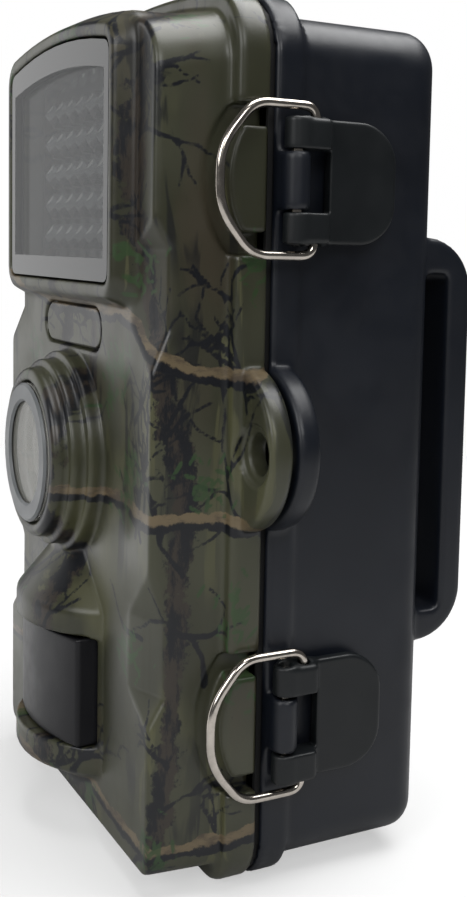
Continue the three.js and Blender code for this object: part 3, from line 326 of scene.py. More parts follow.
def sensor_hood(p):
    x, y, z = p
    front = bow(p, HOOD_HALF, FRONT_Y, HOOD_FACE)
    sides = np.abs(x) - HOOD_HALF
    plan = np.maximum(round_max(front, sides, 0.8), y + 12)
    roof_slope = (APEX_Z - BROW_TOP) / (FRONT_Y - HOOD_FACE)
    roof = (z - BROW_TOP + roof_slope * front) / math.hypot(1, roof_slope)
    side_slope = (APEX_Z - BROW_TOP) / (HOOD_HALF - APEX_HALF)
    ridge = (z - BROW_TOP - side_slope * (HOOD_HALF - np.abs(x))) / math.hypot(1, side_slope)
    brow = round_max(round_max(plan, np.maximum(roof, ridge), 0.35), PIR_HIGH[2] - z, 0.5)
    lip_low = PIR_LOW[2] - 5
    lip_slope = 0.62
    under = (lip_low + lip_slope * front - z) / math.hypot(1, lip_slope)
    lip = round_max(round_max(plan, under, 0.8), z - PIR_LOW[2], 0.5)
    inner = np.maximum(bow(p, HOOD_HALF, FRONT_Y, -20.4), sides)
    frame_part = np.maximum(np.maximum(inner, y + 12), between(z, PIR_LOW[2] - 1, PIR_HIGH[2] + 1))
    return round_min(round_min(brow, lip, 0.2), frame_part, 0.5)


def catch_outline(p, z, grow):
    """A D in y and z with its curved side forward."""
    curve = np.hypot(p[1] - 8.0, p[2] - z) - (15.6 + grow)
    return round_max(curve, np.abs(p[2] - z) - (8 + 1.5 * grow), 0.5)


def knuckles(p, y_low, y_high, spans):
    """Hinge barrels along the case's left side, each with a web to its flange."""
    field = None
    for z in HINGE_Z:
        for low, high in spans:
            barrel = disc(p, 2, (HINGE_X, 0), 2.7, z + low, z + high, 0.3)
            web = block(p, (HINGE_X, y_low, z + low), (1 - HALF, y_high, z + high), 0.2)
            both = np.minimum(barrel, web)
            field = both if field is None else np.minimum(field, both)
    bore = np.hypot(p[0] - HINGE_X, p[1]) - 1.5
    return np.maximum(field, -bore)


def lug(p, y_low, y_high, front_r):
    plate = disc(p, 1, (LUG_X, LUG_Z), LUG_R, y_low, y_high, front_r)
    return np.maximum(plate, 38.0 - p[0])


def front_cover_field(p):
    x, y, z = p
    outline = arch(p, HALF, 0.0, HEIGHT, 3.3, 9.0, 9.0)
    flange = round_max(outline, FRONT_FLANGE_Y - y, 1.3)
    flange = round_max(flange, y + SEAM, 0.35)
    shell = round_min(flange, front_body(p), 0.9)
    shell = round_min(shell, front_bezel(p), 0.7)
    shell = round_min(shell, lens_barrel(p), 0.6)
    shell = round_min(shell, sensor_hood(p), 0.5)
    shell = round_min(shell, lug(p, -4.3, -SEAM, 1.1), 0.4)
    for latch_z in LATCH_Z:
        pocket = np.maximum(catch_outline(p, latch_z, 2.3), 39.0 - x)
        shell = round_max(shell, -pocket, 0.4)
        boss = round_max(catch_outline(p, latch_z, 0), between(x, 36, HALF + 1.25), 0.35)
        shell = np.minimum(shell, np.maximum(boss, y + 1.3))
    shell = np.maximum(shell, y + SEAM)
    cavity = arch(p, HALF - 8, 6.2, HEIGHT - 6.2, 4.0, 3.0, 3.0)
    shell = np.maximum(shell, -np.maximum(cavity, CAVITY_Y - y))
    glass_pocket = np.maximum(window_outline(p, 0), y + WINDOW_FACE - 1.7)
    shell = round_max(shell, -glass_pocket, 0.15)
    aperture = np.maximum(window_outline(p, -2.6), y + 10)
    shell = np.maximum(shell, -aperture)
    lens_axis = np.hypot(x, z - LENS_Z)
    lens_pocket = np.maximum(lens_axis - 12.6, y + LENS_FACE - 2.6)
    shell = round_max(shell, -lens_pocket, 0.25)
    shell = np.maximum(shell, -np.maximum(lens_axis - 7.7, y + 10))
    sensor_pocket = np.maximum(
        np.maximum(np.abs(x) - 15.8, between(z, PIR_LOW[2] - GAP, PIR_HIGH[2] + GAP)), y + 14
    )
    shell = round_max(shell, -sensor_pocket, 0.2)
    plate_low, plate_high = local_box("name_plate")
    middle = (plate_low[2] + plate_high[2]) / 2
    reach = plate_high[0] - 3.5
    pill = np.hypot(np.maximum(np.abs(x) - reach, 0), z - middle) - 3.9
    shell = round_max(shell, -np.maximum(pill, y - FRONT_Y - 1.1), 0.25)
    hole = np.hypot(x - LUG_HOLE_X, z - LUG_Z)
    shell = np.maximum(shell, -(hole - 3.25))
    shell = round_max(shell, -np.maximum(hole - 4.8, y + 3.5), 0.2)
    third = 26 / 6
    return np.minimum(shell, knuckles(p, -2.7, -SEAM, ((-13, -third - GAP), (third + GAP, 13))))


# ---------------------------------------------------------------- rear housing


STRAP_LOOP = dict(root=30.0, low=36.2, high=106.2, back=41.3, inner=24.6, outer=38.6)
STRAP_SLOT = dict(low=41.5, high=100.2, depth=5.0)


def strap_loops(p):
    x, y, z = p
    outline = round_max(between(z, STRAP_LOOP["low"], STRAP_LOOP["high"]), y - STRAP_LOOP["back"], 9.0)
    outline = np.maximum(outline, STRAP_LOOP["root"] - y)
    low, high, back = STRAP_SLOT["low"], STRAP_SLOT["high"], REAR_Y + STRAP_SLOT["depth"]
    eased = block((y * 0, y, z), (-1, REAR_Y, low), (1, back, high), 1.4)
    slot = round_max(np.maximum(between(y, REAR_Y, back), between(z, low, high)), eased, 0.1)
    side = between(np.abs(x), STRAP_LOOP["inner"], STRAP_LOOP["outer"])
    return round_max(round_max(outline, side, 0.9), -slot, 0.5)


def rear_housing_field(p):
    x, y, z = p
    flange = arch(p, HALF, 0.0, HEIGHT, 3.3, 9.0, 9.0)
    flange = round_max(flange, between(y, SEAM, REAR_FLANGE_Y), 0.9)
    outline = arch(p, REAR_HALF, REAR_FOOT, HEIGHT - 3, 3.3, 6.0, 6.0)
    shell = round_max(outline, between(y, SEAM + 1, REAR_Y), 4.5)
    shell = round_min(flange, np.maximum(shell, SEAM + 1 - y), 0.3)
    shell = round_min(shell, strap_loops(p), 0.5)
    shell = round_min(shell, lug(p, SEAM, 4.3, 0.9), 0.4)
    for latch_z in LATCH_Z:
        barrel = disc(p, 2, (LEVER_X, LEVER_Y), 2.1, latch_z - 4.5, latch_z + 4.5, 0.3)
        web = block(p, (41, LEVER_Y - 2.1, latch_z - 4.5), (LEVER_X, LEVER_Y + 2.1, latch_z + 4.5), 0.2)
        knuckle = np.maximum(np.minimum(barrel, web), 1.1 - np.hypot(x - LEVER_X, y - LEVER_Y))
        shell = np.minimum(shell, knuckle)
    cavity = arch(p, 39.4, 5.2, HEIGHT - 5.2, 3.3, 3.8, 3.8)
    shell = np.maximum(shell, -np.maximum(cavity, y - REAR_Y + 2.2))
    boss = disc(p, 2, (0, UNDERSIDE_Y), 7.2, REAR_FOOT + 1, REAR_FOOT + 8, 0.3)
    shell = np.minimum(shell, boss)
    insert = np.hypot(x, y - UNDERSIDE_Y) - 5.5
    jack = np.maximum(np.hypot(x - JACK_X, y - UNDERSIDE_Y) - 4.5, z - 9)
    shell = np.maximum(np.maximum(shell, -np.maximum(insert, z - 14)), -jack)
    ring = np.abs(arch(p, HALF - 1.55, 1.55, HEIGHT - 1.55, 3.3, 7.6, 7.6)) - 0.62
    shell = np.maximum(shell, -np.maximum(ring, y - SEAM - 1.2))
    shell = np.maximum(shell, -(np.hypot(x - LUG_HOLE_X, z - LUG_Z) - 3.25))
    third = 26 / 6
    return np.minimum(shell, knuckles(p, SEAM, 2.7, ((-third, third),)))


# ---------------------------------------------------------------- latches


BAIL_HALF = 11.4
BAIL_AXIS_Y = 6.3
BAIL_NOSE = (-9.8, 4.6)
BAIL_KNEE = -4.4
WIRE_RADIUS = 0.75
BAIL_ARM = 7.2
BAIL_BENDS = (2.4, 2.6, 3.6, 3.6, 2.6, 2.4)
LEVER_HALF = 9.6
LEVER_TIP = 21.0
LEVER_THICK = 2.0
LEVER_GAP_HALF = 4.8


def lever_field(latch_z):
    def field(p):
        x, y, z = p
        low, high = latch_z - LEVER_HALF, latch_z + LEVER_HALF
        root = block(p, (LEVER_X - LEVER_THICK, LEVER_Y, low), (LEVER_X + LEVER_THICK, 8.4, high), 0.9)
        barrel = disc(p, 2, (LEVER_X, LEVER_Y), 2.0, low, high, 0.35)
        outline = round_max(y - LEVER_TIP, np.abs(z - latch_z) - LEVER_HALF, 6.5)
        lift = 0.35 * np.maximum(y - 15, 0) ** 2 / 36
        plate = between(x - lift, LEVER_X - LEVER_THICK, LEVER_X)
        plate = round_max(round_max(plate, outline, 0.5), LEVER_Y - y, 0.4)
        lever = round_min(round_min(barrel, root, 0.6), plate, 1.2)
        gap = np.maximum(np.abs(z - latch_z) - LEVER_GAP_HALF, y - 9)
        lever = round_max(lever, -gap, 0.3)
        lever = np.maximum(lever, 1.1 - np.hypot(x - LEVER_X, y - LEVER_Y))
        wire = np.hypot(x - LEVER_X, y - BAIL_AXIS_Y) - WIRE_RADIUS - GAP
        return np.maximum(lever, -np.maximum(wire, 6.7 - np.abs(z - latch_z)))

    return field


def tube(name, path, radius, sides=14):
    """A capped tube whose sections lie across a path in one plane of constant x."""
    verts, faces = [], []
    for k, point in enumerate(path):
        ahead = path[min(k + 1, len(path) - 1)] - path[max(k - 1, 0)]
        ahead /= np.linalg.norm(ahead)
        across = np.cross(ahead, (1, 0, 0))
        for s in range(sides):
            angle = 2 * math.pi * s / sides
            offset = radius * (math.cos(angle) * np.array([1, 0, 0]) + math.sin(angle) * across)
            verts.append(point + offset)
    for k in range(len(path) - 1):
        for s in range(sides):
            a = k * sides + s
            b = k * sides + (s + 1) % sides
            faces.append((a, b, b + sides, a + sides))
    faces.append(tuple(reversed(range(sides))))
    faces.append(tuple(range(len(verts) - sides, len(verts))))
    return mesh_object(name, verts, faces)


def filleted(points, radii, steps=9):
    """A path of straight runs with a smooth bend of the given reach at each inner point."""
    path = [np.array(points[0], float)]
    for before, corner, after, reach in zip(points, points[1:], points[2:], radii):
        before, corner, after = (np.array(q, float) for q in (before, corner, after))
        start = corner + (before - corner) * reach / np.linalg.norm(before - corner)
        end = corner + (after - corner) * reach / np.linalg.norm(after - corner)
        for t in np.linspace(0, 1, steps):
            path.append((1 - t) ** 2 * start + 2 * t * (1 - t) * corner + t * t * end)
    path.append(np.array(points[-1], float))
    return path


def bail(name, latch_z):
    """The closed latch's wire, from one end in the lever round the catch to the other."""
    half = [(BAIL_AXIS_Y, BAIL_ARM), (BAIL_AXIS_Y, BAIL_HALF), (BAIL_KNEE, BAIL_HALF), BAIL_NOSE]
    whole = [(y, dz) for y, dz in half] + [(y, -dz) for y, dz in reversed(half)]
    points = [(LEVER_X, y, latch_z + dz) for y, dz in whole]
    return tube(name, filleted(points, BAIL_BENDS), WIRE_RADIUS)


# ---------------------------------------------------------------- materials


class Nodes:
    """Short forms for building a material's node tree."""

    def __init__(self, name):
        self.material = bpy.data.materials.new(name)
        self.material.use_nodes = True
        self.tree = self.material.node_tree
        self.shader = self.tree.nodes["Principled BSDF"]
        self.place = self.add("ShaderNodeTexCoord").outputs["Object"]

    def add(self, kind, **inputs):
        node = self.tree.nodes.new(kind)
        for key, value in inputs.items():
            self.feed(node.inputs[key.replace("_", " ")], value)
        return node

    def feed(self, socket, value):
        if isinstance(value, bpy.types.NodeSocket):
            self.tree.links.new(value, socket)
        else:
            socket.default_value = value

    def math(self, operation, *values, clamp=False):
        node = self.tree.nodes.new("ShaderNodeMath")
        node.operation = operation
        node.use_clamp = clamp
        for socket, value in zip(node.inputs, values):
            self.feed(socket, value)
        return node.outputs[0]

    def noise(self, scale, detail=4.0, roughness=0.55, stretch=(1, 1, 1), distortion=0.0, seed=0.0):
        mapping = self.add("ShaderNodeMapping", Vector=self.place, Scale=stretch, Location=(seed, seed, seed))
        node = self.add("ShaderNodeTexNoise", Vector=mapping.outputs[0], Scale=scale, Detail=detail)
        node.inputs["Roughness"].default_value = roughness
        node.inputs["Distortion"].default_value = distortion
        return node.outputs[0]

    def step(self, value, low, high, start=0.0, end=1.0):
        """A smooth step of value from start to end."""
        node = self.tree.nodes.new("ShaderNodeMapRange")
        node.interpolation_type = "SMOOTHSTEP"
        for socket, v in zip(node.inputs, (value, low, high, start, end)):
            self.feed(socket, v)
        return node.outputs[0]

    def mix(self, share, a, b):
        node = self.tree.nodes.new("ShaderNodeMix")
        node.data_type = "RGBA"
        self.feed(node.inputs[0], share)
        for socket, value in ((node.inputs[6], a), (node.inputs[7], b)):
            self.feed(socket, (*value, 1.0) if isinstance(value, tuple) and len(value) == 3 else value)
        return node.outputs[2]

    def bump(self, height, distance, strength=1.0):
        node = self.add("ShaderNodeBump", Height=height, Strength=strength, Distance=distance)
        self.feed(self.shader.inputs["Normal"], node.outputs[0])

    def set(self, **inputs):
        for key, value in inputs.items():
            if isinstance(value, tuple) and len(value) == 3:
                value = (*value, 1.0)
            self.feed(self.shader.inputs[key.replace("_", " ")], value)
        return self.material


def srgb(code):
    """A linear colour from an sRGB hex code."""
    parts = [int(code[k : k + 2], 16) / 255 for k in (0, 2, 4)]
    return tuple(c / 12.92 if c <= 0.04045 else ((c + 0.055) / 1.055) ** 2.4 for c in parts)


def moulded(name, colour, roughness, grain=2600.0, depth=0.00002, specular=0.5):
    """Moulded plastic with a fine grain and slight unevenness in its gloss."""
    n = Nodes(name)
    cloud = n.noise(60, 3)
    tone = n.mix(n.step(cloud, 0.35, 0.65), colour, tuple(c * 1.18 for c in colour))
    rough = n.step(n.noise(140, 3, seed=3), 0.3, 0.7, roughness - 0.04, roughness + 0.06)
    n.bump(n.noise(grain, 2), depth, 0.35)
    return n.set(Base_Color=tone, Roughness=rough, Specular_IOR_Level=specular)


def metal(name, colour, roughness, brushed=(1, 1, 1)):
    n = Nodes(name)
    streak = n.noise(900, 2, stretch=brushed)
    tone = n.mix(n.step(streak, 0.3, 0.7), colour, tuple(c * 0.86 for c in colour))
    rough = n.step(n.noise(300, 2), 0.3, 0.7, roughness * 0.8, roughness * 1.3)
    n.bump(streak, 0.00001, 0.2)
    return n.set(Base_Color=tone, Metallic=1.0, Roughness=rough)


OLIVE = srgb("444535")
OLIVE_DARK = srgb("323325")
KHAKI = srgb("56563c")
BARK = srgb("4a4034")
BARK_DARK = srgb("332d26")
TAN = srgb("6d6049")
TWIG = srgb("0e1117")
LEAF = srgb("2f4827")

# The flat print, in millimetres. "around" runs along x on the front face and goes on round the
# corner along the side. The whole pattern grows from one seed.
PRINT_SEED = 7
PRINT_HALF = 64.0
PRINT_HEIGHT = 146.0
STROKE_STEP = 2.5
BOUGH_SPACING = 44.0
BOUGH_WIDTH = 1.5
TRUNK_SPACING = 30.0
TRUNK_WIDTH = 2.3
SPRIG_COUNT = 46
GROVE_COUNT = 36
LEAVES_PER_GROVE = 34


def wander(start, heading, length, drift, rng):
    """The points of a line that keeps to its heading but wavers on the way."""
    places = [np.array(start, float)]
    turn = 0.0
    for _ in range(int(length / STROKE_STEP)):
        turn = 0.8 * turn + rng.normal(0, drift)
        along = np.array([math.cos(heading + turn), math.sin(heading + turn)])
        places.append(places[-1] + STROKE_STEP * along)
    return places


def stroke_pieces(path, width, rng):
    """A line cut into short straight pieces (a, b, half width) of uneven width."""
    widths = width * rng.uniform(0.6, 1.2, len(path))
    return [(path[k], path[k + 1], widths[k]) for k in range(len(path) - 1)]


def boughs(rng):
    """Branches that cross the print at regular heights, with the bark lit from above."""
    pieces = []
    for level in np.arange(BOUGH_SPACING / 2, PRINT_HEIGHT, BOUGH_SPACING):
        start = (-PRINT_HALF, level + rng.uniform(-6, 6))
        path = wander(start, rng.uniform(-0.1, 0.1), 2 * PRINT_HALF, 0.12, rng)
        pieces += stroke_pieces(path, BOUGH_WIDTH, rng)
    return pieces


def trunks(rng):
    """Dark stems that climb the whole print, side by side."""
    pieces = []
    for around in np.arange(-PRINT_HALF + TRUNK_SPACING / 2, PRINT_HALF, TRUNK_SPACING):
        start = (around + rng.uniform(-7, 7), 0)
        path = wander(start, math.pi / 2 + rng.uniform(-0.08, 0.08), PRINT_HEIGHT, 0.1, rng)
        pieces += stroke_pieces(path, TRUNK_WIDTH, rng)
    return pieces


def random_place(rng):
    return np.array([rng.uniform(-PRINT_HALF, PRINT_HALF), rng.uniform(0, PRINT_HEIGHT)])


def leaf_groves(rng):
    """Small leaves in loose clumps."""
    leaves = []
    for _ in range(GROVE_COUNT):
        middle = random_place(rng)
        for _ in range(LEAVES_PER_GROVE):
            place = middle + rng.normal(0, 2.6, 2)
            heading = rng.uniform(0, math.pi)
            tip = place + rng.uniform(0.8, 2.0) * np.array([math.cos(heading), math.sin(heading)])
            leaves.append((place, tip, rng.uniform(0.2, 0.36)))
    return leaves


def sprout(base, heading, length, width, depth, rng, pieces):
    """A twig that bends, thins and forks as it grows."""
    place = base
    steps = max(3, int(length / 1.6))
    for k in range(steps):
        heading += rng.normal(0, 0.22)
        ahead = place + 1.6 * np.array([math.cos(heading), math.sin(heading)])
        pieces.append((place, ahead, max(width * (1 - 0.6 * k / steps), 0.22)))
        place = ahead
        if depth and rng.random() < 0.3:
            turn = rng.choice((-1, 1)) * rng.uniform(0.45, 0.95)
            sprout(place, heading + turn, length * 0.55, width * 0.7, depth - 1, rng, pieces)


def twigs(stems, rng):
    """Forked twigs, some growing from the stems and some free."""
    pieces = []
    for a, b, width in stems:
        if rng.random() < 0.12:
            heading = math.atan2(*(b - a)[::-1]) + rng.choice((-1, 1)) * rng.uniform(0.5, 1.1)
            sprout(a, heading, rng.uniform(6, 16), min(0.42, 0.5 * width + 0.1), 2, rng, pieces)
    for _ in range(SPRIG_COUNT):
        sprout(random_place(rng), rng.uniform(0, 2 * math.pi), rng.uniform(10, 26), 0.5, 2, rng, pieces)
    return pieces


def woodland():
    """The print's pieces by kind: bark, trunk, twig and leaf."""
    rng = np.random.default_rng(PRINT_SEED)
    bark = boughs(rng)
    trunk = trunks(rng)
    return {"bark": bark, "trunk": trunk, "twig": twigs(bark + trunk, rng), "leaf": leaf_groves(rng)}


def print_place(places):
    """Where a point of the shell lies in the flat print."""
    x, y, z = places.T
    back = y - FRONT_Y
    around = x + np.sign(x) * np.maximum(back, 0) * np.clip((np.abs(x) - 20) / 16, 0, 1)
    return around, z + back * np.clip((z - 134) / 8, 0, 1)


def depth_in(around, height, pieces, reach):
    """How deep each point lies in the pieces, from -reach outside, and how far above their middle."""
    depth = np.full(len(around), -reach, np.float32)
    above = np.zeros(len(around), np.float32)
    for a, b, width in pieces:
        margin = width + reach
        low = np.minimum(a, b) - margin
        high = np.maximum(a, b) + margin
        near = np.flatnonzero((around > low[0]) & (around < high[0]) & (height > low[1]) & (height < high[1]))
        if not len(near):
            continue
        du, dv = around[near] - a[0], height[near] - a[1]
        run = b - a
        share = np.clip((du * run[0] + dv * run[1]) / max(run @ run, 1e-6), 0, 1)
        off_v = dv - share * run[1]
        value = width - np.hypot(du - share * run[0], off_v)
        better = value > depth[near]
        depth[near[better]] = value[better]
        above[near[better]] = off_v[better] / width
    return depth, above


def print_on(obj, places):
    """Stores the woodland print on a mesh, as each vertex's depth in each kind of stroke."""
    around, height = print_place(places)
    for kind, pieces in woodland().items():
        depth, above = depth_in(around, height, pieces, 1.5)
        obj.data.attributes.new(kind, "FLOAT", "POINT").data.foreach_set("value", depth)
        if kind == "bark":
            obj.data.attributes.new("bark_above", "FLOAT", "POINT").data.foreach_set("value", above)


def camouflage():
    """Printed woodland: mottled olive with bark, trunks, twigs and small leaves."""
    n = Nodes("camouflage_print")
    patch = n.step(n.noise(26, 3, stretch=(1, 1, 0.6), seed=4.2), 0.4, 0.62)
    tone = n.mix(patch, OLIVE, OLIVE_DARK)
    light = n.step(n.noise(38, 4, stretch=(1, 1, 0.45), seed=9.1), 0.56, 0.66)
    tone = n.mix(n.math("MULTIPLY", light, 0.7), tone, KHAKI)
    grey = n.step(n.noise(30, 4, stretch=(1.4, 1.4, 0.4), seed=14.0), 0.55, 0.68)
    tone = n.mix(n.math("MULTIPLY", grey, 0.5), tone, BARK)
    grasses = n.noise(150, 4, 0.6, stretch=(1, 1, 0.12), distortion=0.6, seed=6.0)
    blades = n.math("MULTIPLY", n.step(grasses, 0.58, 0.63), n.step(n.noise(34, 2, seed=31), 0.44, 0.56))
    tone = n.mix(n.math("MULTIPLY", blades, 0.75), tone, KHAKI)
    shade = n.math("MULTIPLY", n.step(grasses, 0.43, 0.38), n.step(n.noise(30, 2, seed=17), 0.46, 0.58))
    tone = n.mix(n.math("MULTIPLY", shade, 0.7), tone, TWIG)
    fibre = n.noise(260, 5, 0.7, stretch=(0.35, 0.35, 1), seed=2.0)
    ragged = n.math("MULTIPLY", n.math("SUBTRACT", n.noise(420, 4, 0.7, seed=8.0), 0.5), 1.0)

    def inside(kind, roughness, softness=0.12):
        depth = n.add("ShaderNodeAttribute").outputs["Fac"]
        depth.node.attribute_name = kind
        return n.step(n.math("ADD", depth, n.math("MULTIPLY", ragged, roughness)), -softness, softness)

    old = n.mix(n.step(n.noise(300, 5, 0.75, stretch=(1, 1, 0.3)), 0.46, 0.56), TWIG, BARK_DARK)
    tone = n.mix(inside("trunk", 6.0, 0.4), tone, old)
    tone = n.mix(inside("twig", 0.8), tone, TWIG)
    above = n.add("ShaderNodeAttribute").outputs["Fac"]
    above.node.attribute_name = "bark_above"
    lit = n.step(n.math("ADD", above, n.math("MULTIPLY", ragged, 1.5)), -0.25, 0.05)
    bark = n.mix(n.step(fibre, 0.42, 0.6), TAN, BARK)
    tone = n.mix(inside("bark", 1.6), tone, n.mix(lit, TWIG, bark))
    tone = n.mix(n.math("MULTIPLY", inside("leaf", 0.3), 0.8), tone, LEAF)
    gloss = n.step(n.noise(90, 3, seed=3.0), 0.3, 0.7, 0.3, 0.42)
    n.bump(n.noise(3000, 2), 0.00002, 0.35)
    coat = dict(Coat_Weight=0.12, Coat_Roughness=0.3)
    return n.set(Base_Color=tone, Roughness=gloss, Specular_IOR_Level=0.5, **coat)


CROWN_RADIUS = 150.0


def smoked_window():
    """Polished smoked glass with a darker printed border."""
    n = Nodes("smoked_window")
    high = local_box("led_window")[1]
    split = n.add("ShaderNodeSeparateXYZ", Vector=n.place)
    x = n.math("ABSOLUTE", n.math("SUBTRACT", n.math("MULTIPLY", split.outputs[0], MM), float(SHIFT[0])))
    z = n.math("MULTIPLY", split.outputs[2], MM)
    side = n.step(x, WINDOW["half"] - 2.4, WINDOW["half"] - 2.3)
    foot = n.step(z, WINDOW["bottom"] + 4.1, WINDOW["bottom"] + 4.0)
    drop = n.math("DIVIDE", n.math("MULTIPLY", x, x), 2 * CROWN_RADIUS)
    crown = n.step(n.math("ADD", z, drop), float(high[2]) - 4.4, float(high[2]) - 4.3)
    border = n.math("MAXIMUM", n.math("MAXIMUM", side, foot), crown)
    tone = n.mix(border, srgb("46494b"), srgb("1d1f20"))
    alpha = n.math("ADD", n.math("MULTIPLY", border, 0.62), 0.38)
    n.set(Base_Color=tone, Roughness=0.06, Alpha=alpha, Specular_IOR_Level=0.6)
    return n.material


def clear_window(name, colour, alpha):
    n = Nodes(name)
    smudge = n.step(n.noise(50, 3), 0.4, 0.7, 0.03, 0.09)
    return n.set(Base_Color=colour, Roughness=smudge, Alpha=alpha, Specular_IOR_Level=0.6)


def circuit_board():
    n = Nodes("circuit_board")
    traces = n.tree.nodes.new("ShaderNodeTexBrick")
    flat = n.add("ShaderNodeMapping", Vector=n.place, Rotation=(math.pi / 2, 0, 0))
    n.feed(traces.inputs["Vector"], flat.outputs[0])
    traces.inputs["Scale"].default_value = 260
    traces.inputs["Mortar Size"].default_value = 0.03
    tone = n.mix(traces.outputs["Fac"], srgb("1c4a33"), srgb("2c6a48"))
    n.bump(traces.outputs["Fac"], 0.00004, 0.3)
    return n.set(Base_Color=tone, Roughness=0.42)


LED_PITCH = 5.7
LED_RADIUS = 2.4


def led_panel():
    """The lamp board: a pale reflector behind water-clear lamps, each with a near-white spot at its die that
    is a painted glint.
    """
    n = Nodes("led_panel")
    low, high = local_box("led_board")
    split = n.add("ShaderNodeSeparateXYZ", Vector=n.place)
    x = n.math("SUBTRACT", n.math("MULTIPLY", split.outputs[0], MM), float(SHIFT[0]))
    z = n.math("SUBTRACT", n.math("MULTIPLY", split.outputs[2], MM), float((low[2] + high[2]) / 2))
    across = n.math("SUBTRACT", n.math("PINGPONG", n.math("ABSOLUTE", x), LED_PITCH), LED_PITCH / 2)
    down = n.math("PINGPONG", n.math("ABSOLUTE", z), LED_PITCH / 2)
    far = n.math("SQRT", n.math("ADD", n.math("POWER", across, 2.0), n.math("POWER", down, 2.0)))
    lamp = n.step(far, LED_RADIUS, LED_RADIUS - 0.3)
    # Painted glint: a near-white spot in the middle of each lamp, where its die sits.
    die_glint = n.step(far, 1.0, 0.6)
    tone = n.mix(die_glint, n.mix(lamp, srgb("3c4042"), srgb("8b9092")), srgb("d8dad6"))
    gloss = n.math("SUBTRACT", 0.5, n.math("MULTIPLY", lamp, 0.42))
    n.bump(n.noise(400, 2), 0.00002, 0.2)
    return n.set(Base_Color=tone, Roughness=gloss)


def cell_jacket():
    """A printed cell: dark jacket with a copper-coloured collar."""
    n = Nodes("cell_jacket")
    z = n.math("MULTIPLY", n.add("ShaderNodeSeparateXYZ", Vector=n.place).outputs[2], MM)
    lower = n.math("FRACT", n.math("DIVIDE", n.math("SUBTRACT", z, 16.2), 57.9))
    collar = n.step(lower, 0.66, 0.67)
    tone = n.mix(collar, srgb("22262a"), srgb("a86b35"))
    n.bump(n.noise(500, 2), 0.00002, 0.2)
    return n.set(Base_Color=tone, Metallic=0.4, Roughness=0.3)


def display_panel():
    n = Nodes("display_panel")
    rows = n.tree.nodes.new("ShaderNodeTexWave")
    rows.bands_direction = "Z"
    n.feed(rows.inputs["Vector"], n.place)
    rows.inputs["Scale"].default_value = 1500
    tone = n.mix(rows.outputs["Fac"], srgb("14171c"), srgb("1a1e24"))
    return n.set(Base_Color=tone, Roughness=0.18)


# ---------------------------------------------------------------- putting pieces in place


BODY_OF = {node: body for body, nodes in frame["record"]["behaviour"]["bodies"].items() for node in nodes}
SLOT_OF = {row["node"]: row["material_slot"] for row in frame["record"]["subparts"]}


def refined(name, round_to):
    """A finer copy of a CAD node: joined faces, rounded edges and smooth shading on its curves."""
    source = NODES[name].data
    mesh = bpy.data.meshes.new(f"{name}_fine")
    form = bmesh.new()
    form.from_mesh(source)
    bmesh.ops.remove_doubles(form, verts=form.verts, dist=2e-6)
    bmesh.ops.dissolve_limit(form, angle_limit=math.radians(1), verts=form.verts, edges=form.edges)
    bmesh.ops.recalc_face_normals(form, faces=form.faces)
    form.to_mesh(mesh)
    form.free()
    mesh.materials.clear()
    mesh.shade_smooth()
    mesh.set_sharp_from_angle(angle=math.radians(35))
    obj = bpy.data.objects.new(f"{name}_fine", mesh)
    bpy.context.collection.objects.link(obj)
    soft = obj.modifiers.new("soft_edges", "BEVEL")
    soft.width = round_to / MM
    soft.segments = 2
    soft.limit_method = "ANGLE"
    soft.angle_limit = math.radians(40)
    soft.harden_normals = True
    return obj


def install(obj, node, mats):
    """Puts a finished piece in place of a CAD node, on its body and with its material."""
    obj.data.materials.append(mats[SLOT_OF[node]])
    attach(obj, BODY_OF[node])
    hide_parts(node)


COVER_STEP = 0.5
HOUSING_STEP = 0.65


def seam_places(obj):
    return np.array([v.co for v in obj.data.vertices]) * MM - SHIFT


def name_plate_field(p):
    low, high = local_box("name_plate")
    middle = (low[2] + high[2]) / 2
    pill = np.hypot(np.maximum(np.abs(p[0]) - (high[0] - 3.5), 0), p[2] - middle) - 3.5
    return round_max(pill, between(p[1], low[1], high[1]), 0.2)


def pir_window_field(p):
    wall = 1.2
    outer = bow(p, HOOD_HALF, -20.4, PIR_LOW[1])
    sides = np.abs(p[0]) - PIR_HIGH[0]
    form = np.maximum(round_max(outer, sides, 0.3), p[1] - PIR_HIGH[1])
    hollow = np.maximum(outer + wall, sides + wall)
    return round_max(np.maximum(form, -hollow), between(p[2], PIR_LOW[2], PIR_HIGH[2]), 0.15)


def build_shells(mats):
    fields = (
        ("front_cover", front_cover_field, COVER_STEP),
        ("rear_housing", rear_housing_field, HOUSING_STEP),
        ("name_plate", name_plate_field, 0.3),
        ("pir_window", pir_window_field, 0.3),
    )
    for node, field, step in fields:
        low, high = local_box(node)
        shell = sculpt(f"{node}_shell", field, low, high, step)
        install(shell, node, mats)
        if SLOT_OF[node] == "camouflage_shell":
            print_on(shell, seam_places(shell))


def build_latches(mats):
    for which, latch_z in zip(("lower", "upper"), LATCH_Z):
        low, high = local_box(f"latch_lever_{which}")
        lever = sculpt(f"latch_lever_{which}_moulding", lever_field(latch_z), low, high, 0.3)
        install(lever, f"latch_lever_{which}", mats)
        install(bail(f"latch_bail_{which}_wire", latch_z), f"latch_bail_{which}", mats)


SCULPTED = ("front_cover", "rear_housing", "name_plate", "pir_window", "latch_lever", "latch_bail")
SHARP = ("led_board", "main_board", "display_window", "led_window", "gasket")


def refine_nodes(mats):
    """Every other CAD node gets a finer copy with rounded edges."""
    for name in SLOT_OF:
        if not name.startswith(SCULPTED):
            install(refined(name, 0.06 if name.startswith(SHARP) else 0.18), name, mats)
    lamps = bpy.data.objects["led_board_fine"]
    lamps.data.materials[0] = led_panel()


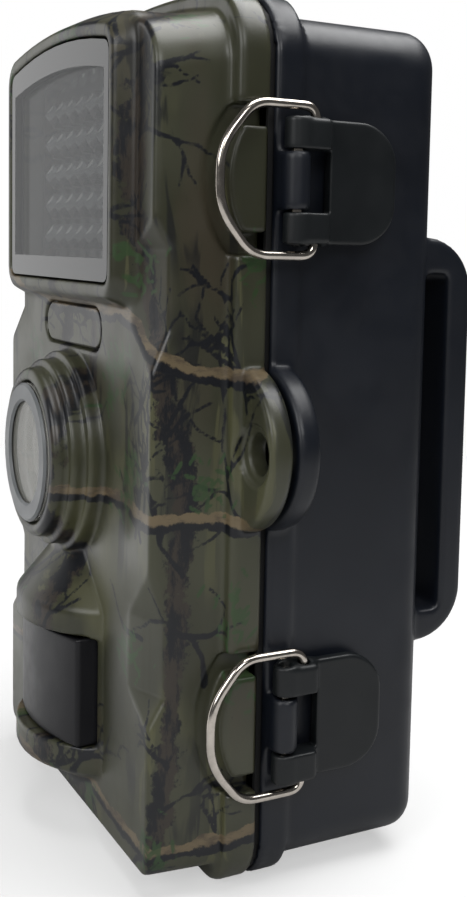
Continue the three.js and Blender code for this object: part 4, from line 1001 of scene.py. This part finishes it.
def make_materials():
    return {
        "camouflage_shell": camouflage(),
        "black_plastic": moulded("black_plastic", srgb("11151d"), 0.38, specular=0.5),
        "lever_plastic": moulded("lever_plastic", srgb("15181a"), 0.38, specular=0.4),
        "seal_rubber": moulded("seal_rubber", srgb("0c0c0d"), 0.75),
        "stainless_wire": metal("stainless_wire", srgb("d8d0c6"), 0.16),
        "screw_steel": metal("screw_steel", srgb("b9b9b6"), 0.3),
        "nickel_plate": metal("nickel_plate", srgb("c4c2bb"), 0.28, (1, 1, 12)),
        "brass": metal("brass", srgb("c8a25a"), 0.3, (1, 1, 8)),
        "smoked_window": smoked_window(),
        "clear_lens": clear_window("clear_lens", srgb("a9a9a2"), 0.55),
        "lens_bezel": moulded("lens_bezel", srgb("65686a"), 0.34),
        "filter_plastic": moulded("filter_plastic", srgb("121216"), 0.34, specular=0.35),
        "circuit_board": circuit_board(),
        "display_panel": display_panel(),
        "card_plastic": moulded("card_plastic", srgb("22252c"), 0.4),
        "cell_jacket": cell_jacket(),
    }


# ---------------------------------------------------------------- studio

CAMERA_AT = (208.0, -86.2, 103.4)
CAMERA_AZIMUTH = 61.0
CAMERA_DIP = 5.39
CAMERA_ROLL = 1.35
LENS_LENGTH = 48.56
LENS_SHIFT = (-0.074, -0.0925)


def make_camera():
    data = bpy.data.cameras.new("camera")
    camera = bpy.data.objects.new("camera", data)
    bpy.context.collection.objects.link(camera)
    a, e, roll = (math.radians(v) for v in (CAMERA_AZIMUTH, CAMERA_DIP, CAMERA_ROLL))
    ahead = Vector((-math.sin(a) * math.cos(e), math.cos(a) * math.cos(e), -math.sin(e)))
    right = ahead.cross(Vector((0, 0, 1))).normalized()
    up = right.cross(ahead)
    turned_right = math.cos(roll) * right + math.sin(roll) * up
    turned_up = -math.sin(roll) * right + math.cos(roll) * up
    basis = Matrix((turned_right, turned_up, -ahead)).transposed().to_4x4()
    camera.matrix_world = Matrix.Translation(Vector(to_row(CAMERA_AT))) @ basis
    data.sensor_width = 36
    data.lens = LENS_LENGTH
    data.shift_x, data.shift_y = LENS_SHIFT
    data.clip_start = 0.01
    bpy.context.scene.camera = camera


FLOOR_REACH = 0.6
FLOOR_WEIGHT = 0.5
CENTRE = (0, 0, 0.07)
# name, place, side of the square, power in watts
LIGHTS = (
    ("left_panel", (-0.75, -0.55, 0.12), 0.9, 2.6),
    ("front_key", (0.35, -0.85, 0.55), 0.5, 3.6),
    ("top", (0.05, 0.2, 0.9), 0.8, 11.0),
    ("side_fill", (0.9, -0.3, 0.7), 0.4, 3.0),
)
AMBIENT = 0.07
BACKDROP = 1.0


def area_light(name, place, size, power):
    data = bpy.data.lights.new(name, "AREA")
    data.size = size
    data.energy = power
    light = bpy.data.objects.new(name, data)
    light.location = place
    light.rotation_euler = (Vector(CENTRE) - Vector(place)).to_track_quat("-Z", "Y").to_euler()
    bpy.context.collection.objects.link(light)


def make_floor():
    mesh = bpy.data.meshes.new("floor")
    corners = [(FLOOR_REACH * (2 * a - 1), FLOOR_REACH * (2 * b - 1), 0) for a, b in RING]
    mesh.from_pydata(corners, [], [(0, 1, 2, 3)])
    floor = bpy.data.objects.new("floor", mesh)
    bpy.context.collection.objects.link(floor)
    n = Nodes("floor")
    length = n.add("ShaderNodeVectorMath")
    length.operation = "LENGTH"
    n.feed(length.inputs[0], n.place)
    fade = n.step(length.outputs["Value"], FLOOR_REACH, FLOOR_REACH * 0.4, 0.0, FLOOR_WEIGHT)
    mesh.materials.append(n.set(Base_Color=(0.9, 0.9, 0.9), Roughness=0.9, Alpha=fade))


def make_world():
    """A white surround for the camera that lights the object only faintly."""
    world = bpy.data.worlds.new("studio")
    bpy.context.scene.world = world
    world.use_nodes = True
    tree = world.node_tree
    back = tree.nodes["Background"]
    back.inputs["Color"].default_value = (1, 1, 1, 1)
    seen = tree.nodes.new("ShaderNodeLightPath").outputs["Is Camera Ray"]
    strength = tree.nodes.new("ShaderNodeMapRange")
    tree.links.new(seen, strength.inputs[0])
    strength.inputs[3].default_value = AMBIENT
    strength.inputs[4].default_value = BACKDROP
    tree.links.new(strength.outputs[0], back.inputs["Strength"])


def make_studio():
    make_floor()
    make_world()
    for row in LIGHTS:
        area_light(*row)
    bpy.context.scene.view_settings.view_transform = "Standard"


# ---------------------------------------------------------------- build

make_camera()
make_studio()
MATERIALS = make_materials()
build_shells(MATERIALS)
build_latches(MATERIALS)
refine_nodes(MATERIALS)
